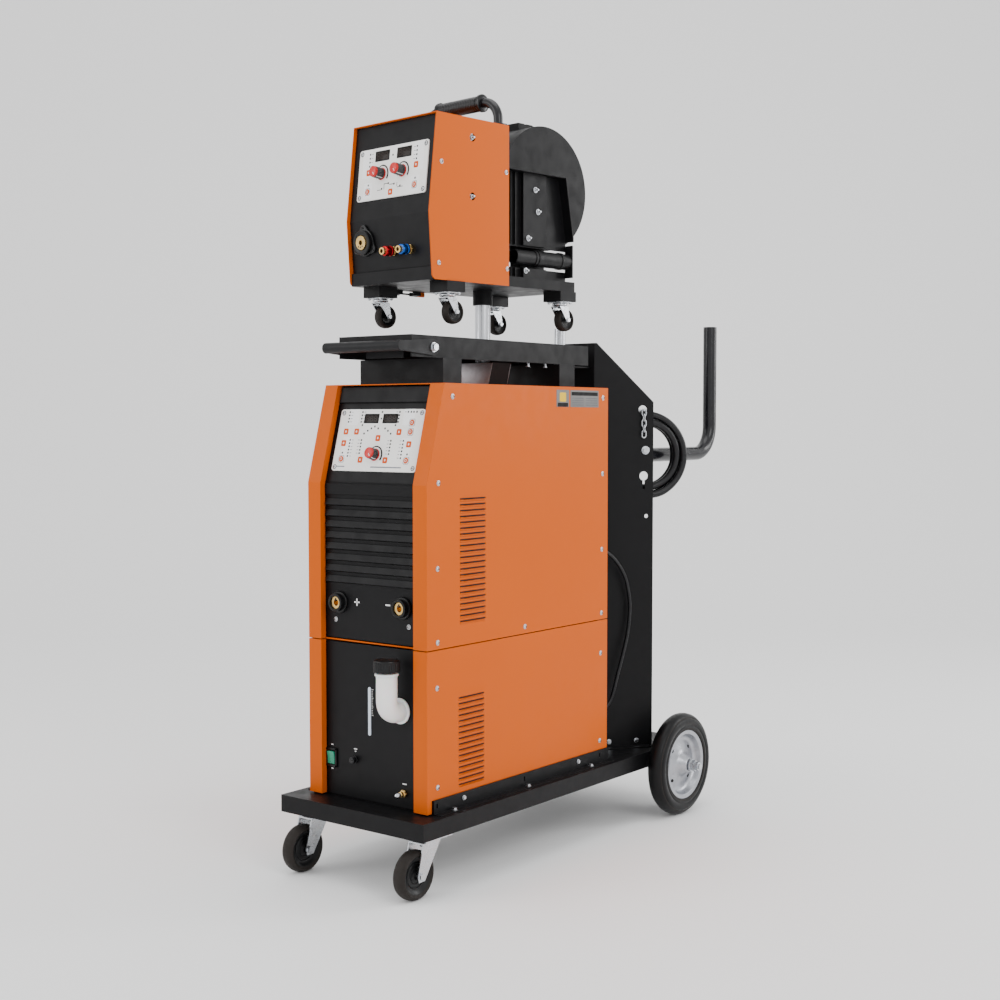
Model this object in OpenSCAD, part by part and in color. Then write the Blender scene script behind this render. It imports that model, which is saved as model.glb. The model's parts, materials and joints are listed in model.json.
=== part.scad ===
// Wheeled MIG welding station: power source on a water cooler, wire feeder on a post.
// The front of the machine faces -Y, the floor is z = 0. Millimetres.

/* [Cabinet] */
// Width of the power source and of the cooler
cab_w = 328; // [320:1:340]
// Depth of the power source and of the cooler
cab_d = 643; // [630:1:650]
// Height of the seam between the cooler and the power source
seam_z = 493; // [485:1:500]
// Height of the top of the power source
cab_top = 1026; // [1015:1:1035]

/* [Cart] */
// Height of the deck's upper face
deck_z = 161; // [158:1:166]
// Width of the deck
deck_w = 396; // [390:1:400]
// Depth of the deck's folded skirt
skirt_h = 36; // [30:1:38]
// Height of the top of the gas bottle column
column_top = 1136; // [1130:1:1145]
// Upper face of the feeder platform
platform_top = 1124; // [1120:1:1126]

/* [Wheels] */
// Radius of the rear wheels
rear_r = 122; // [118:1:124]
// Distance of the rear wheels' centre planes from the middle
rear_x = 230; // [226:1:234]
// Radius of the front caster wheels
caster_r = 50; // [46:1:50]
// Distance of the front casters' swivel axes from the middle
caster_x = 155; // [150:1:160]
// Distance from a front caster's swivel axis to its axle
caster_trail = 34; // [30:1:36]

/* [Feeder] */
// Width of the wire feeder
feed_w = 258; // [254:1:262]
// Depth of the orange part of the wire feeder
feed_d = 235; // [233:1:238]
// Height of the wire feeder's body
feed_h = 340; // [336:1:344]
// Height of the underside of the feeder above the floor
feed_z = 1239; // [1236:1:1242]
// Angle that the feeder is turned on its post
feed_turn = -6.2; // [-10:0.1:10]
// Radius of the feeder's post
post_r = 17; // [15:0.5:18]
// Radius of the wire spool's housing
drum_r = 136; // [134:1:138]

/* [Cable] */
// Diameter of the mains cable
mains_d = 17; // [14:1:17]
// Diameter of the cooler's supply lead
lead_d = 9; // [8:0.5:10]

/* [Hidden] */
$fn = 48;

orange = "#f08a36";
black = "#1c1c1e";
soft_black = "#29292b";
zinc = "#b9bcc0";
brass_c = "#c79a3d";
white_c = "#e9e7e2";
run = 0.05;         // radial clearance of a shaft in its bore
sheet = 2;          // thickness of the cabinet's sheet metal
plate = 3;          // thickness of the cart's sheet metal

// Lengths along Y are first counted from the cabinet's front face
caster_y = 2;                               // swivel axes of the front casters
axle_y = 860;                               // rear axle
pad_y = 880;                                // pad for the gas bottle
pad_h = 3;
deck_front = -52;
deck_rear = 975;
hook_x = 138;
hook_rise_y = 1155;                         // centre of the hook's upright
hook_r = 17;
y_min = caster_y - caster_trail - caster_r;
y_max = hook_rise_y + hook_r;
front_y = -(y_min + y_max) / 2;             // puts the origin under the middle of the machine

// Column: a web behind the cabinet and two cheeks that flare outwards
web_y = 722;
web_half = 72;
web_in = web_half - 1;      // the web stops just inside the fold
cheek_len = 150;
cheek_turn = atan2(cab_w / 2 - web_half, 118);

// Slanted upper part of the power source's front
kink_z = 822;
slant_back = 55;
slant_turn = atan2(slant_back, cab_top - kink_z);
slant_len = norm([slant_back, cab_top - kink_z]);
flange_w = 36;      // front flanges of the shells
lip_d = 14;         // inner lips behind them
panel_y = 16;       // black front panels, behind the shells' edge

// Feeder platform and post
platform_w = 200;
platform_rear = 655;
tray_h = 45;
post_y = 385;
stub_at = [38, 628];
stub_r = 13;
stub_top = 1165;
platform_front = 30;
platform_d = platform_rear - platform_front;

// Feeder
feed_kink = 137;    // height of the foremost line of the feeder's side
feed_top_back = 22;
feed_low_back = 9;
feed_base_d = 451;
recess = 8;
drum_y = 382;
drum_z = 226;
drum_half = 100;
drum_face_x = 100;  // right-hand face of the spool housing
drum_wall = 3;
small_r = 25;
small_trail = 14;
small_x = 105;
small_ys = [75, 425];
block_h = 22;
feed_post_y = 285;  // post axis behind the feeder's front

// ---------- places ----------

module at_frame() { translate([0, front_y, 0]) children(); }

module at_feeder() {
    at_frame() translate([0, post_y, feed_z]) rotate([0, 0, feed_turn]) translate([0, -feed_post_y, 0]) children();
}

// Frame of the slanted panel: x right, y up along the slant, z out of the panel
module at_slant(depth = 0) {
    at_frame() translate([0, depth, kink_z]) rotate([90 - slant_turn, 0, 0]) children();
}

module both_sides() {
    children();
    mirror([1, 0, 0]) children();
}

// ---------- general shapes ----------

// Rectangle with round corners, from circles and squares
module rrect(size, r) {
    square([size.x - 2 * r, size.y], center = true);
    square([size.x, size.y - 2 * r], center = true);
    for (sx = [-1, 1], sy = [-1, 1])
        translate([sx * (size.x / 2 - r), sy * (size.y / 2 - r)]) circle(r);
}

// Plate whose outline is given in (y, z), thick towards +x
module side_plate(points, thick) {
    rotate([90, 0, 90]) linear_extrude(thick) polygon(points);
}

module x_rod(r, length) {
    rotate([0, 90, 0]) cylinder(r = r, h = length, center = true);
}

module y_rod(r, length) {
    rotate([-90, 0, 0]) cylinder(r = r, h = length);
}

module hex(r, h) { cylinder(r = r, h = h, $fn = 6); }

// Hexagon bolt with a washer, standing on z = 0
module hex_bolt(r = 5) {
    cylinder(r = r * 1.25, h = 1.2);
    translate([0, 0, 1]) hex(r, r * 0.75);
}

// Tube swept along route points: rings of equal sides, one at each point
function unit(v) = v / norm(v);
function along(p, i) = unit(p[min(i + 1, len(p) - 1)] - p[max(i - 1, 0)]);
function side_of(t) = unit(cross(t, abs(t.z) < 0.9 ? [0, 0, 1] : [1, 0, 0]));
function carried(p, i, u) =
    let (t = along(p, i), v = u - (u * t) * t) unit(v);
function frames(p, i = 0, u = [0, 0, 0]) =
    i == len(p) ? [] :
    let (w = i == 0 ? side_of(along(p, 0)) : carried(p, i, u)) concat([w], frames(p, i + 1, w));
function smooth(p, i, f) =
    let (a = p[max(i - 1, 0)], b = p[i], c = p[i + 1], d = p[min(i + 2, len(p) - 1)])
    0.5 * (2 * b + (c - a) * f + (2 * a - 5 * b + 4 * c - d) * f * f
        + (3 * b - a - 3 * c + d) * f * f * f);
function route(p, steps) = concat(
    [for (i = [0 : len(p) - 2], s = [0 : steps - 1]) smooth(p, i, s / steps)], [p[len(p) - 1]]);

module swept_tube(points, d, sides = 10) {
    n = len(points);
    us = frames(points);
    rings = [for (i = [0 : n - 1], k = [0 : sides - 1])
        let (t = along(points, i), v = cross(t, us[i]), a = 360 * k / sides)
        points[i] + d / 2 * (cos(a) * us[i] + sin(a) * v)];
    walls = [for (i = [0 : n - 2], k = [0 : sides - 1])
        let (a = i * sides + k, b = i * sides + (k + 1) % sides)
        each [[a, a + sides, b + sides], [a, b + sides, b]]];
    first = [[for (k = [0 : sides - 1]) k]];
    last = [[for (k = [sides - 1 : -1 : 0]) (n - 1) * sides + k]];
    polyhedron(rings, concat(walls, first, last));
}

// ---------- cart ----------

module cart_deck() color(black) at_frame() {
    depth = deck_rear - deck_front;
    mid = (deck_rear + deck_front) / 2;
    difference() {
        translate([0, mid, deck_z - skirt_h / 2]) cube([deck_w, depth, skirt_h], center = true);
        translate([0, mid, deck_z - skirt_h / 2 - plate])
            cube([deck_w - 2 * plate, depth - 2 * plate, skirt_h], center = true);
        // notches for the rear axle
        for (s = [-1, 1]) translate([s * deck_w / 2, axle_y, rear_r]) cube([20, 22, 28], center = true);
    }
    // pad that the gas bottle stands on
    translate([0, pad_y, deck_z - 1]) cylinder(r = 80, h = 1 + pad_h);
    // channel that carries the front casters
    for (y = [caster_y - 48, caster_y + 42])
        translate([-deck_w / 2 + plate, y, plate_z]) cube([deck_w - 2 * plate, plate, skirt_h - plate]);
    translate([-deck_w / 2 + plate, caster_y - 48, plate_z]) cube([deck_w - 2 * plate, 93, plate]);
    // brackets that carry the rear axle
    for (x = [-170, 165]) translate([x, axle_y, 0]) difference() {
        translate([0, -25, rear_r - 22]) cube([5, 50, deck_z - rear_r + 20]);
        translate([2.5, 0, rear_r]) x_rod(9 + run, 20);
    }
}

module cheek() {
    translate([web_half, web_y, 0]) rotate([0, 0, -cheek_turn]) difference() {
        translate([-plate, 0, 0]) side_plate([[0, deck_z], [cheek_len, deck_z], [cheek_len, 996],
            [cheek_len - 3, 999], [6, column_top], [0, column_top]], plate);
        translate([0, 123, 977]) x_rod(11, 20);
        translate([0, 130, 880]) x_rod(5, 20);
        translate([0, 126, 818]) x_rod(11, 20);
        translate([-10, 123, 786]) cube([20, 6, 30]);
        translate([0, 133, 721]) x_rod(5, 20);
        for (s = [40, 110]) translate([0, s, deck_z + 14]) x_rod(4, 20);
    }
}

module rear_column() color(soft_black) at_frame() {
    difference() {
        translate([-web_in, web_y, deck_z]) cube([2 * web_in, plate, column_top - deck_z]);
        translate([20, web_y - 5, 600]) y_rod(30, 20);
    }
    both_sides() cheek();
    // folded top edge and foot flanges
    translate([-web_in, web_y + 1, column_top - plate - 1]) cube([2 * web_in, 16, plate]);
    translate([-web_in, web_y + 1, deck_z]) cube([2 * web_in, 24, plate]);
    both_sides() translate([web_half, web_y, deck_z]) rotate([0, 0, -cheek_turn])
        translate([-1, 8, 0]) cube([24, cheek_len - 16, plate]);
}

module top_platform() color(black) at_frame() difference() {
    union() {
        translate([-platform_w / 2, platform_front, platform_top - plate]) cube([platform_w, platform_d, plate]);
        for (x = [-platform_w / 2, platform_w / 2 - plate])
            translate([x, platform_front, platform_top - tray_h]) cube([plate, platform_d, tray_h]);
        translate([-platform_w / 2, platform_rear - plate, platform_top - tray_h])
            cube([platform_w, plate, tray_h]);
        translate([-platform_w / 2, platform_front, platform_top - 20]) cube([platform_w, plate, 20]);
        // stiffener under the front end
        translate([-52, 60, platform_top - tray_h]) cube([104, plate, tray_h - 1]);
    }
    translate([0, post_y, platform_top - 10]) cylinder(r = post_r + 0.5, h = 20);
    translate([stub_at.x, stub_at.y, platform_top - 10]) cylinder(r = stub_r + 0.5, h = 20);
}

module gusset_bracket() {
    top_w = 108;
    low_w = 83;
    h = platform_top - tray_h - cab_top;
    difference() {
        translate([0, 418, cab_top]) rotate([90, 0, 0]) linear_extrude(66)
            polygon([[-low_w / 2, 0], [low_w / 2, 0], [top_w / 2, h], [-top_w / 2, h]]);
        translate([0, post_y, cab_top + 20]) cylinder(r = post_r + 0.5, h = 60);
        translate([0, 430, cab_top - 1]) rotate([90, 0, 0]) linear_extrude(75)
            polygon([[-low_w / 2 + 3, 0], [low_w / 2 - 3, 0], [top_w / 2 - 3, h - 2], [-top_w / 2 + 3, h - 2]]);
    }
}

module platform_supports() at_frame() {
    h = platform_top - tray_h - cab_top;
    color(black) difference() {
        translate([-115, 110, cab_top]) cube([230, 60, h]);
        translate([-112, 113, cab_top - 1]) cube([224, 60, h - 2]);
    }
    color(zinc) gusset_bracket();
    color(black) translate([-100, 540, cab_top]) difference() {
        cube([200, 60, h]);
        translate([3, 3, -1]) cube([194, 60, h - 2]);
    }
    // tie plate from the platform back to the column
    color(black) translate([-60, platform_rear - 20, platform_top - tray_h - plate])
        cube([120, web_y - platform_rear + 20, plate]);
}

module front_handle() color(black) at_frame() {
    bar_z = 1100;
    translate([0, -5, bar_z]) x_rod(11, platform_w + 10);
    both_sides() difference() {
        hull() {
            translate([platform_w / 2 + 2.5, 93, bar_z]) x_rod(17, 5);
            translate([platform_w / 2 + 2.5, -5, bar_z]) x_rod(10, 5);
        }
        translate([platform_w / 2, 93, bar_z]) x_rod(4.2, 20);
    }
}

module posts() color(zinc) at_frame() {
    translate([0, post_y, cab_top + 45]) cylinder(r = post_r, h = feed_z + 20 - run - cab_top - 45);
    translate([stub_at.x, stub_at.y, platform_top - tray_h + plate])
        cylinder(r = stub_r, h = stub_top - platform_top + tray_h - plate);
}

hook_low_z = 868;
hook_bend = 70;
hook_top_z = 1192;

module cable_hook() color(soft_black) at_frame() {
    start = 806;
    difference() {
        translate([hook_x, start, hook_low_z]) y_rod(hook_r, hook_rise_y - hook_bend - start);
        translate([web_half, web_y, 0]) rotate([0, 0, -cheek_turn])
            translate([-plate - 1, -60, hook_low_z - 40]) cube([120, 300, 80]);
    }
    translate([hook_x, hook_rise_y - hook_bend, hook_low_z + hook_bend]) rotate([90, 0, 90])
        rotate_extrude(angle = -90, $fn = 64) translate([hook_bend, 0]) rotate(90) circle(hook_r);
    translate([hook_x, hook_rise_y, hook_low_z + hook_bend])
        cylinder(r = hook_r, h = hook_top_z - hook_low_z - hook_bend);
    // foot plate on the cheek and the saddle that the coiled cable rests on
    translate([web_half, web_y, 0]) rotate([0, 0, -cheek_turn])
        difference() {
            translate([-plate - 5, 84, hook_low_z - 34]) cube([5, 56, 62]);
            translate([-plate - 10, 130, 880]) x_rod(9, 30);
        }
    translate([hook_x - 4, coil_c.y - 16, hook_low_z + 10]) cube([8, 46, coil_in - 18]);
}

module link(turn) {
    r = 1.6;
    inner = 3.4;
    straight = 7;
    rotate([0, 0, turn]) {
        for (s = [-1, 1]) translate([s * (inner + r), 0, -straight / 2]) cylinder(r = r, h = straight, $fn = 16);
        for (s = [0, 180]) rotate([0, s, 0]) translate([0, 0, straight / 2]) rotate([90, 0, 0])
            rotate_extrude(angle = 180, $fn = 24) translate([inner + r, 0]) circle(r, $fn = 16);
    }
}

link_pitch = 13;

// Chain for the gas bottle: a short tail on the right cheek, the long end on the left one
module bottle_chain() color(zinc) at_frame() {
    translate([web_half, web_y, 0]) rotate([0, 0, -cheek_turn]) chain_end(5);
    mirror([1, 0, 0]) translate([web_half, web_y, 0]) rotate([0, 0, -cheek_turn]) chain_end(28);
}

// Links outside a cheek, on a pin through its hole and a toggle behind it
module chain_end(count) {
    pin_z = 976.5;
    translate([8, 123, 0]) {
        for (i = [0 : count - 1]) translate([0, 0, pin_z - 5.5 - i * link_pitch]) link(90 * ((i + 1) % 2));
        translate([-5.5, 0, pin_z]) x_rod(2, 17);
    }
    translate([-plate - 2.6, 106, pin_z]) y_rod(2, 34);
}

module rear_axle() color(zinc) at_frame() translate([0, axle_y, rear_r]) {
    x_rod(9, 2 * (rear_x + 44));
    both_sides() {
        translate([rear_x - 28, 0, 0]) x_rod(14, 6);
        translate([rear_x + 35, 0, 0]) x_rod(15, 3);
        translate([rear_x + 36.5, 0, 0]) rotate([0, 90, 0]) hex(14, 10);
        translate([rear_x + 47, 0, 0]) rotate([0, 90, 0]) hex(11, 8);
        translate([rear_x + 44, 0, 0]) rotate([0, 90, 0]) cylinder(r = 7, h = 16);
    }
}

plate_z = deck_z - skirt_h;         // underside of the deck's channel, where the casters bolt on

module caster_plates() color(zinc) at_frame() for (s = [-1, 1]) translate([s * caster_x, caster_y, 0]) {
    translate([0, 0, plate_z - 3.5]) difference() {
        translate([-40, -40, 0]) cube([80, 80, 3.5]);
        for (x = [-30, 30], y = [-30, 30]) translate([x, y, -1]) cylinder(r = 4.2, h = 6);
    }
    translate([0, 0, plate_z - 11]) cylinder(r = 24, h = 8);
    translate([0, 0, plate_z - 24]) cylinder(r = 6, h = 15);
    translate([0, 0, plate_z - 24]) cylinder(r = 10, h = 4);
}

module caster_fork(s) color(zinc) at_frame() translate([s * caster_x, caster_y, 0]) {
    top = plate_z - 12;
    width = 40;
    difference() {
        translate([-width / 2, -26, top - 3]) cube([width, 52, 3]);
        translate([0, 0, top - 10]) cylinder(r = 6 + run, h = 20);
    }
    for (x = [-width / 2, width / 2 - 3]) difference() {
        translate([x, 0, 0]) side_plate([[-26, top - 1], [26, top - 1], [-caster_trail + 12, caster_r - 11],
            [-caster_trail - 6, caster_r - 12], [-caster_trail - 9, caster_r]], 3);
        translate([x, -caster_trail, caster_r]) x_rod(4, 20);
    }
    translate([0, -caster_trail, caster_r]) {
        x_rod(4, width + 4);
        for (d = [-1, 1]) rotate([0, d * 90, 0]) translate([0, 0, width / 2]) hex(7, 5);
    }
}

module caster_wheel(s) color(soft_black) at_frame()
    translate([s * caster_x, caster_y - caster_trail, caster_r]) rotate([0, 90, 0]) difference() {
        rotate_extrude($fn = 96) polygon([[0, -15], [11, -15], [11, -9], [33, -9], [36, -13], [40, -14],
            [46, -12.5], [49, -9], [caster_r, -5], [caster_r, 5], [49, 9], [46, 12.5], [40, 14], [36, 13],
            [33, 9], [11, 9], [11, 15], [0, 15]]);
        cylinder(r = 4 + run, h = 60, center = true);
    }

rim_r = 82;

module rear_rim(s) color(zinc) at_frame() translate([s * rear_x, axle_y, rear_r]) rotate([0, 90 * s, 0])
    difference() {
        rotate_extrude($fn = 96) polygon([[0, -24], [16, -24], [16, -6], [30, 4], [34, 4], [60, -4], [68, -8],
            [72, -17], [rim_r, -19], [rim_r, -17], [75, -14], [75, 14], [rim_r, 17], [rim_r, 19], [72, 18],
            [69, -2], [60, 0], [34, 8], [28, 12], [17, 30], [0, 30]]);
        cylinder(r = 9 + run, h = 90, center = true);
        for (a = [45 : 90 : 315]) rotate([0, 0, a]) translate([50, 0, -20]) cylinder(r = 4, h = 40);
    }

module rear_tyre(s) color(black) at_frame() translate([s * rear_x, axle_y, rear_r]) rotate([0, 90, 0])
    rotate_extrude($fn = 96) {
        translate([75.2, 0]) difference() {
            union() {
                translate([0, -15]) square([10, 30]);
                translate([7.2, 0]) rrect_half();
            }
            translate([-60, -40]) square([60, 80]);
        }
    }

// Cross-section of a tyre from the rim outwards
module rrect_half() {
    section_w = 44;
    height = rear_r - 82.4;
    translate([0, -section_w / 2 + 3]) square([height - 16, section_w - 6]);
    translate([6, -section_w / 2]) square([height - 24, section_w]);
    translate([0, -section_w / 2 + 16]) square([height, section_w - 32]);
    for (d = [-1, 1]) translate([height - 16, d * (section_w / 2 - 16)]) circle(16);
}

// Hexagon bolts of the deck, the column's foot, the side straps, the platform and the handle
module frame_bolts() color(zinc) at_frame() {
    for (y = [70, 320, 560]) both_sides() translate([cab_w / 2 + 13, y, deck_z + 2]) hex_bolt();
    for (y = [110, 520]) both_sides() translate([cab_w / 2 + 4, y, deck_z + 18]) rotate([0, 90, 0]) hex_bolt(4);
    both_sides() for (s = [40, 110]) translate([web_half, web_y, deck_z + 14]) rotate([0, 0, -cheek_turn])
        translate([0, s, 0]) rotate([0, 90, 0]) hex_bolt();
    both_sides() translate([platform_w / 2 + 5, 93, 1100]) rotate([0, 90, 0]) hex_bolt(8);
    translate([web_half, web_y, 880]) rotate([0, 0, -cheek_turn]) translate([0, 130, 0]) rotate([0, 90, 0])
        hex_bolt(8);
    for (y = [450, 515]) translate([78, y, platform_top - tray_h - 8]) {
        hex_bolt(4);
        cylinder(r = 3, h = tray_h + 8 - plate);
    }
}

// ---------- power source ----------

louvre_w = 84;

module louvres(y0, z0, count, pitch) {
    for (i = [0 : count - 1])
        translate([-cab_w, y0, z0 + i * pitch]) cube([2 * cab_w, louvre_w, 3.4]);
}

// Orange U of sides and top, folded round to the front
module power_shell() color(orange) at_frame() difference() {
    union() {
        both_sides() {
            translate([cab_w / 2 - sheet, 0, 0]) side_plate([[0, seam_z], [cab_d, seam_z], [cab_d, cab_top],
                [slant_back, cab_top], [0, kink_z]], sheet);
            translate([cab_w / 2 - flange_w, 0, 0]) side_plate([[0, seam_z], [sheet, seam_z], [sheet, kink_z],
                [slant_back + sheet, cab_top], [slant_back, cab_top], [0, kink_z]], flange_w);
            translate([cab_w / 2 - flange_w, 0, 0]) side_plate([[0, seam_z], [lip_d, seam_z], [lip_d, kink_z - 3],
                [slant_back + lip_d, cab_top], [slant_back, cab_top], [0, kink_z]], sheet);
        }
        translate([-cab_w / 2, slant_back, cab_top - sheet]) cube([cab_w, cab_d - slant_back, sheet]);
    }
    louvres(104, 540, 22, 11.9);
}

panel_w = cab_w - 2 * flange_w + 2 * sheet + 10;     // front panels reach behind the inner lips

// Black front: top bar, recessed field for the control panel, lower bar, grille, socket field
module power_front() color(black) {
    at_frame() difference() {
        union() {
            translate([-panel_w / 2, panel_y, seam_z + 4]) cube([panel_w, 3, kink_z + 2 - seam_z - 4]);
            translate([-124, panel_y - 5, 798]) cube([248, 7, 22]);
            // grille ribs
            for (i = [0 : 7]) translate([-124, panel_y - 7, 612 + i * 23])
                side_plate([[0, 3], [7.5, 0], [7.5, 16], [4, 16]], 248);
            // base tray of the power source
            translate([-cab_w / 2 + sheet, panel_y + 2, seam_z + 3])
                cube([cab_w - 2 * sheet, cab_d - panel_y - 16, 3]);
        }
        for (x = [-88, 88]) translate([x, panel_y - 5, 572]) y_rod(19, 20);
    }
    at_slant(panel_y) difference() {
        union() {
            translate([-panel_w / 2 + 1, 1, -3]) cube([panel_w - 2, slant_len - 7, 3]);
            translate([-124, slant_len - 40, 0]) cube([248, 33, 6]);
        }
        translate([-panel_rect.x / 2 + 2, panel_low + 2, -8]) cube([panel_rect.x - 4, panel_rect.y - 4, 20]);
    }
}

panel_rect = [232, 132];
panel_low = 25;
knob_at = [0, 35];
knob_h = 21;

// White membrane panel of the power source with raised keys and windows
module control_panel() at_slant(panel_y) translate([0, panel_low + panel_rect.y / 2, 0]) {
    color(white_c) difference() {
        linear_extrude(2.4) rrect(panel_rect, 6);
        for (x = [-1, 1], y = [-1, 1])
            translate([x * (panel_rect.x / 2 - 8), y * (panel_rect.y / 2 - 8), 1.6]) cylinder(r = 3.4, h = 2);
    }
    color(white_c) translate([0, 0, -3]) linear_extrude(3.2) rrect([panel_rect.x - 5, panel_rect.y - 5], 5);
    color(zinc) for (x = [-1, 1], y = [-1, 1])
        translate([x * (panel_rect.x / 2 - 8), y * (panel_rect.y / 2 - 8), 1.4]) cylinder(r = 3, h = 2);
    color("#3a2a24") for (x = [-34, 24]) translate([x, 46, 2.2]) linear_extrude(0.8) rrect([42, 20], 1.5);
    color(zinc) translate([knob_at.x, knob_at.y - 66, 2]) cylinder(r = 3, h = knob_h - 4);
}

// Rotary knob with a bore for its spindle
module knob(r, h) {
    difference() {
        union() {
            cylinder(r = r * 1.12, h = 2.4);
            cylinder(r1 = r, r2 = r * 0.93, h = h - 1);
            cylinder(r = r * 0.85, h = h);
        }
        translate([0, 0, -1]) cylinder(r = 3 + run, h = h - 3);
    }
}

module main_knob() color("#c5202a") at_slant(panel_y)
    translate([knob_at.x, panel_low + knob_at.y, 3]) knob(12, knob_h);

// Panel sockets for the welding cables
module output_sockets() at_frame() for (x = [-88, 88]) translate([x, 0, 572]) rotate([90, 0, 0]) {
    color(black) difference() {
        union() {
            translate([0, 0, -panel_y]) cylinder(r = 23, h = 6);
            translate([0, 0, -panel_y - 8]) cylinder(r = 19, h = 26);
        }
        translate([0, 0, -30]) cylinder(r = 14, h = 60);
    }
    color(brass_c) difference() {
        translate([0, 0, -panel_y - 30]) cylinder(r = 14, h = 44);
        translate([0, 0, -20]) cylinder(r = 6.5, h = 40);
        translate([-2, 0, -20]) cube([4, 9, 40]);
    }
}

gland_x = 20;
gland_z = 600;
lead_top = [110, 648];      // x and z of the cooler lead's upper gland
lead_low = [110, 262];

module gland(r, bore, length) color(soft_black) difference() {
    union() {
        y_rod(r, 5);
        translate([0, 5, 0]) rotate([-90, 0, 0]) hex(r * 1.1, 8);
        translate([0, 12, 0]) rotate([-90, 0, 0]) cylinder(r1 = r * 0.92, r2 = bore + 1.5, h = length - 12);
    }
    translate([0, -1, 0]) y_rod(bore, length + 2);
}

// Rear wall of the power source: fan grille, main switch seat, cable glands
module power_rear() at_frame() {
    color(black) difference() {
        translate([-cab_w / 2 + sheet, cab_d - 12, seam_z + 4]) cube([cab_w - 2 * sheet, 3, cab_top - seam_z - 8]);
        for (i = [0 : 9]) translate([-70, cab_d - 20, 720 + i * 14]) cube([140, 20, 6]);
        translate([gland_x, cab_d - 20, gland_z]) y_rod(mains_d / 2 + 1, 20);
        translate([lead_top.x, cab_d - 20, lead_top.y]) y_rod(lead_d / 2 + 1, 20);
    }
    translate([gland_x, cab_d - 9, gland_z]) gland(17, mains_d / 2, 40);
    translate([lead_top.x, cab_d - 9, lead_top.y]) gland(9, lead_d / 2, 24);
    // seat of the main switch
    color(soft_black) translate([-90, cab_d - 9, 930]) rotate([-90, 0, 0]) {
        linear_extrude(8) rrect([64, 64], 6);
        cylinder(r = 5, h = 20);
    }
}

module breaker_lever() color("#c5202a") at_frame() translate([-90, cab_d, 930]) rotate([-90, 0, 0])
    difference() {
        union() {
            cylinder(r = 17, h = 12);
            translate([-5, -24, 5]) cube([10, 48, 14]);
        }
        translate([0, 0, -1]) cylinder(r = 5 + run, h = 13);
    }

// ---------- cooler ----------

module cooler_shell() color(orange) at_frame() difference() {
    base = deck_z + 3;
    strap = 26;
    both_sides() {
        translate([cab_w / 2 - sheet, 0, 0]) side_plate([[0, base], [14, base], [14, base + strap],
            [cab_d, base + strap], [cab_d, seam_z - 2], [0, seam_z - 2]], sheet);
        translate([cab_w / 2 - flange_w, 0, base]) cube([flange_w, sheet, seam_z - 2 - base]);
        translate([cab_w / 2 - flange_w, 0, base]) cube([sheet, lip_d, seam_z - 2 - base]);
    }
    louvres(99, 205, 16, 11.9);
}

// Black tray, side straps and front wall of the cooler
module cooler_front() color(black) at_frame() difference() {
    union() {
        translate([-panel_w / 2, panel_y, deck_z + 3]) cube([panel_w, 3, seam_z - deck_z - 8]);
        translate([-cab_w / 2 + sheet, panel_y + 3, deck_z]) cube([cab_w - 2 * sheet, cab_d - panel_y - 3, 3]);
        both_sides() translate([cab_w / 2 - sheet, 16, deck_z]) {
            difference() {
                cube([6, cab_d - 16, 29]);
                for (y = [8, 300, 590]) translate([-5, y, 12]) cube([20, 4, 10]);
            }
            cube([24, cab_d - 16, 2]);
        }
        translate([-cab_w / 2 + sheet, cab_d - 12, deck_z + 3]) cube([cab_w - 2 * sheet, 3, seam_z - deck_z - 8]);
    }
    translate([neck_x, panel_y - 5, 362]) y_rod(neck_r + 1, 30);
    translate([-113, panel_y - 5, 241]) cube([26, 30, 34], center = true);
    translate([lead_low.x, cab_d - 20, lead_low.y]) y_rod(lead_d / 2 + 1, 20);
    for (i = [0 : 9]) translate([-70, cab_d - 20, 220 + i * 14]) cube([140, 20, 6]);
}

neck_x = 80;
neck_r = 21.5;
cap_z = 448;
cap_bore = 24;

// Moulded filler neck: out of the wall, round an elbow and up
module filler_neck() color(white_c) at_frame() difference() {
    union() {
        translate([neck_x, panel_y + 12, 362]) rotate([90, 0, 0]) cylinder(r = neck_r, h = 14);
        neck_path(neck_r);
        translate([neck_x, -26, cap_z - 4]) cylinder(r = cap_bore - run, h = 17);
    }
    neck_path(neck_r - 3);
    translate([neck_x, -26, cap_z - 20]) cylinder(r = neck_r - 3, h = 60);
    translate([neck_x, panel_y + 20, 362]) rotate([90, 0, 0]) cylinder(r = neck_r - 3, h = 22);
}

module neck_path(r) {
    bend = 26;
    translate([neck_x, 0, 362]) rotate([90, 0, 0]) translate([0, 0, -panel_y - 1]) cylinder(r = r, h = panel_y + 1);
    translate([neck_x, 0, 362 + bend]) rotate([90, 0, -90]) rotate_extrude(angle = -90)
        translate([bend, 0]) rotate(90) circle(r);
    translate([neck_x, -bend, 362 + bend]) cylinder(r = r, h = cap_z - 362 - bend);
}

module filler_cap() color(black) at_frame() translate([neck_x, -26, cap_z]) difference() {
    union() {
        cylinder(r = 27, h = 24);
        for (a = [0 : 12 : 348]) rotate([0, 0, a]) translate([27, 0, 2]) cylinder(r = 1.4, h = 20, $fn = 16);
    }
    translate([0, 0, -1]) cylinder(r = cap_bore, h = 20);
}

// Rocker in its frame; the rocker turns on two stub pins
module cooler_switch() color("#1f8f6a") at_frame() translate([-113, panel_y - 1, 241]) difference() {
    side_rocker();
    x_rod(2 + run, 60);
}

module side_rocker() {
    translate([-9, 0, 0]) side_plate([[-6, 13], [-2, 13], [5, 0], [-2, -13], [-3, -13], [-3.5, 0]], 18);
}

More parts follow.
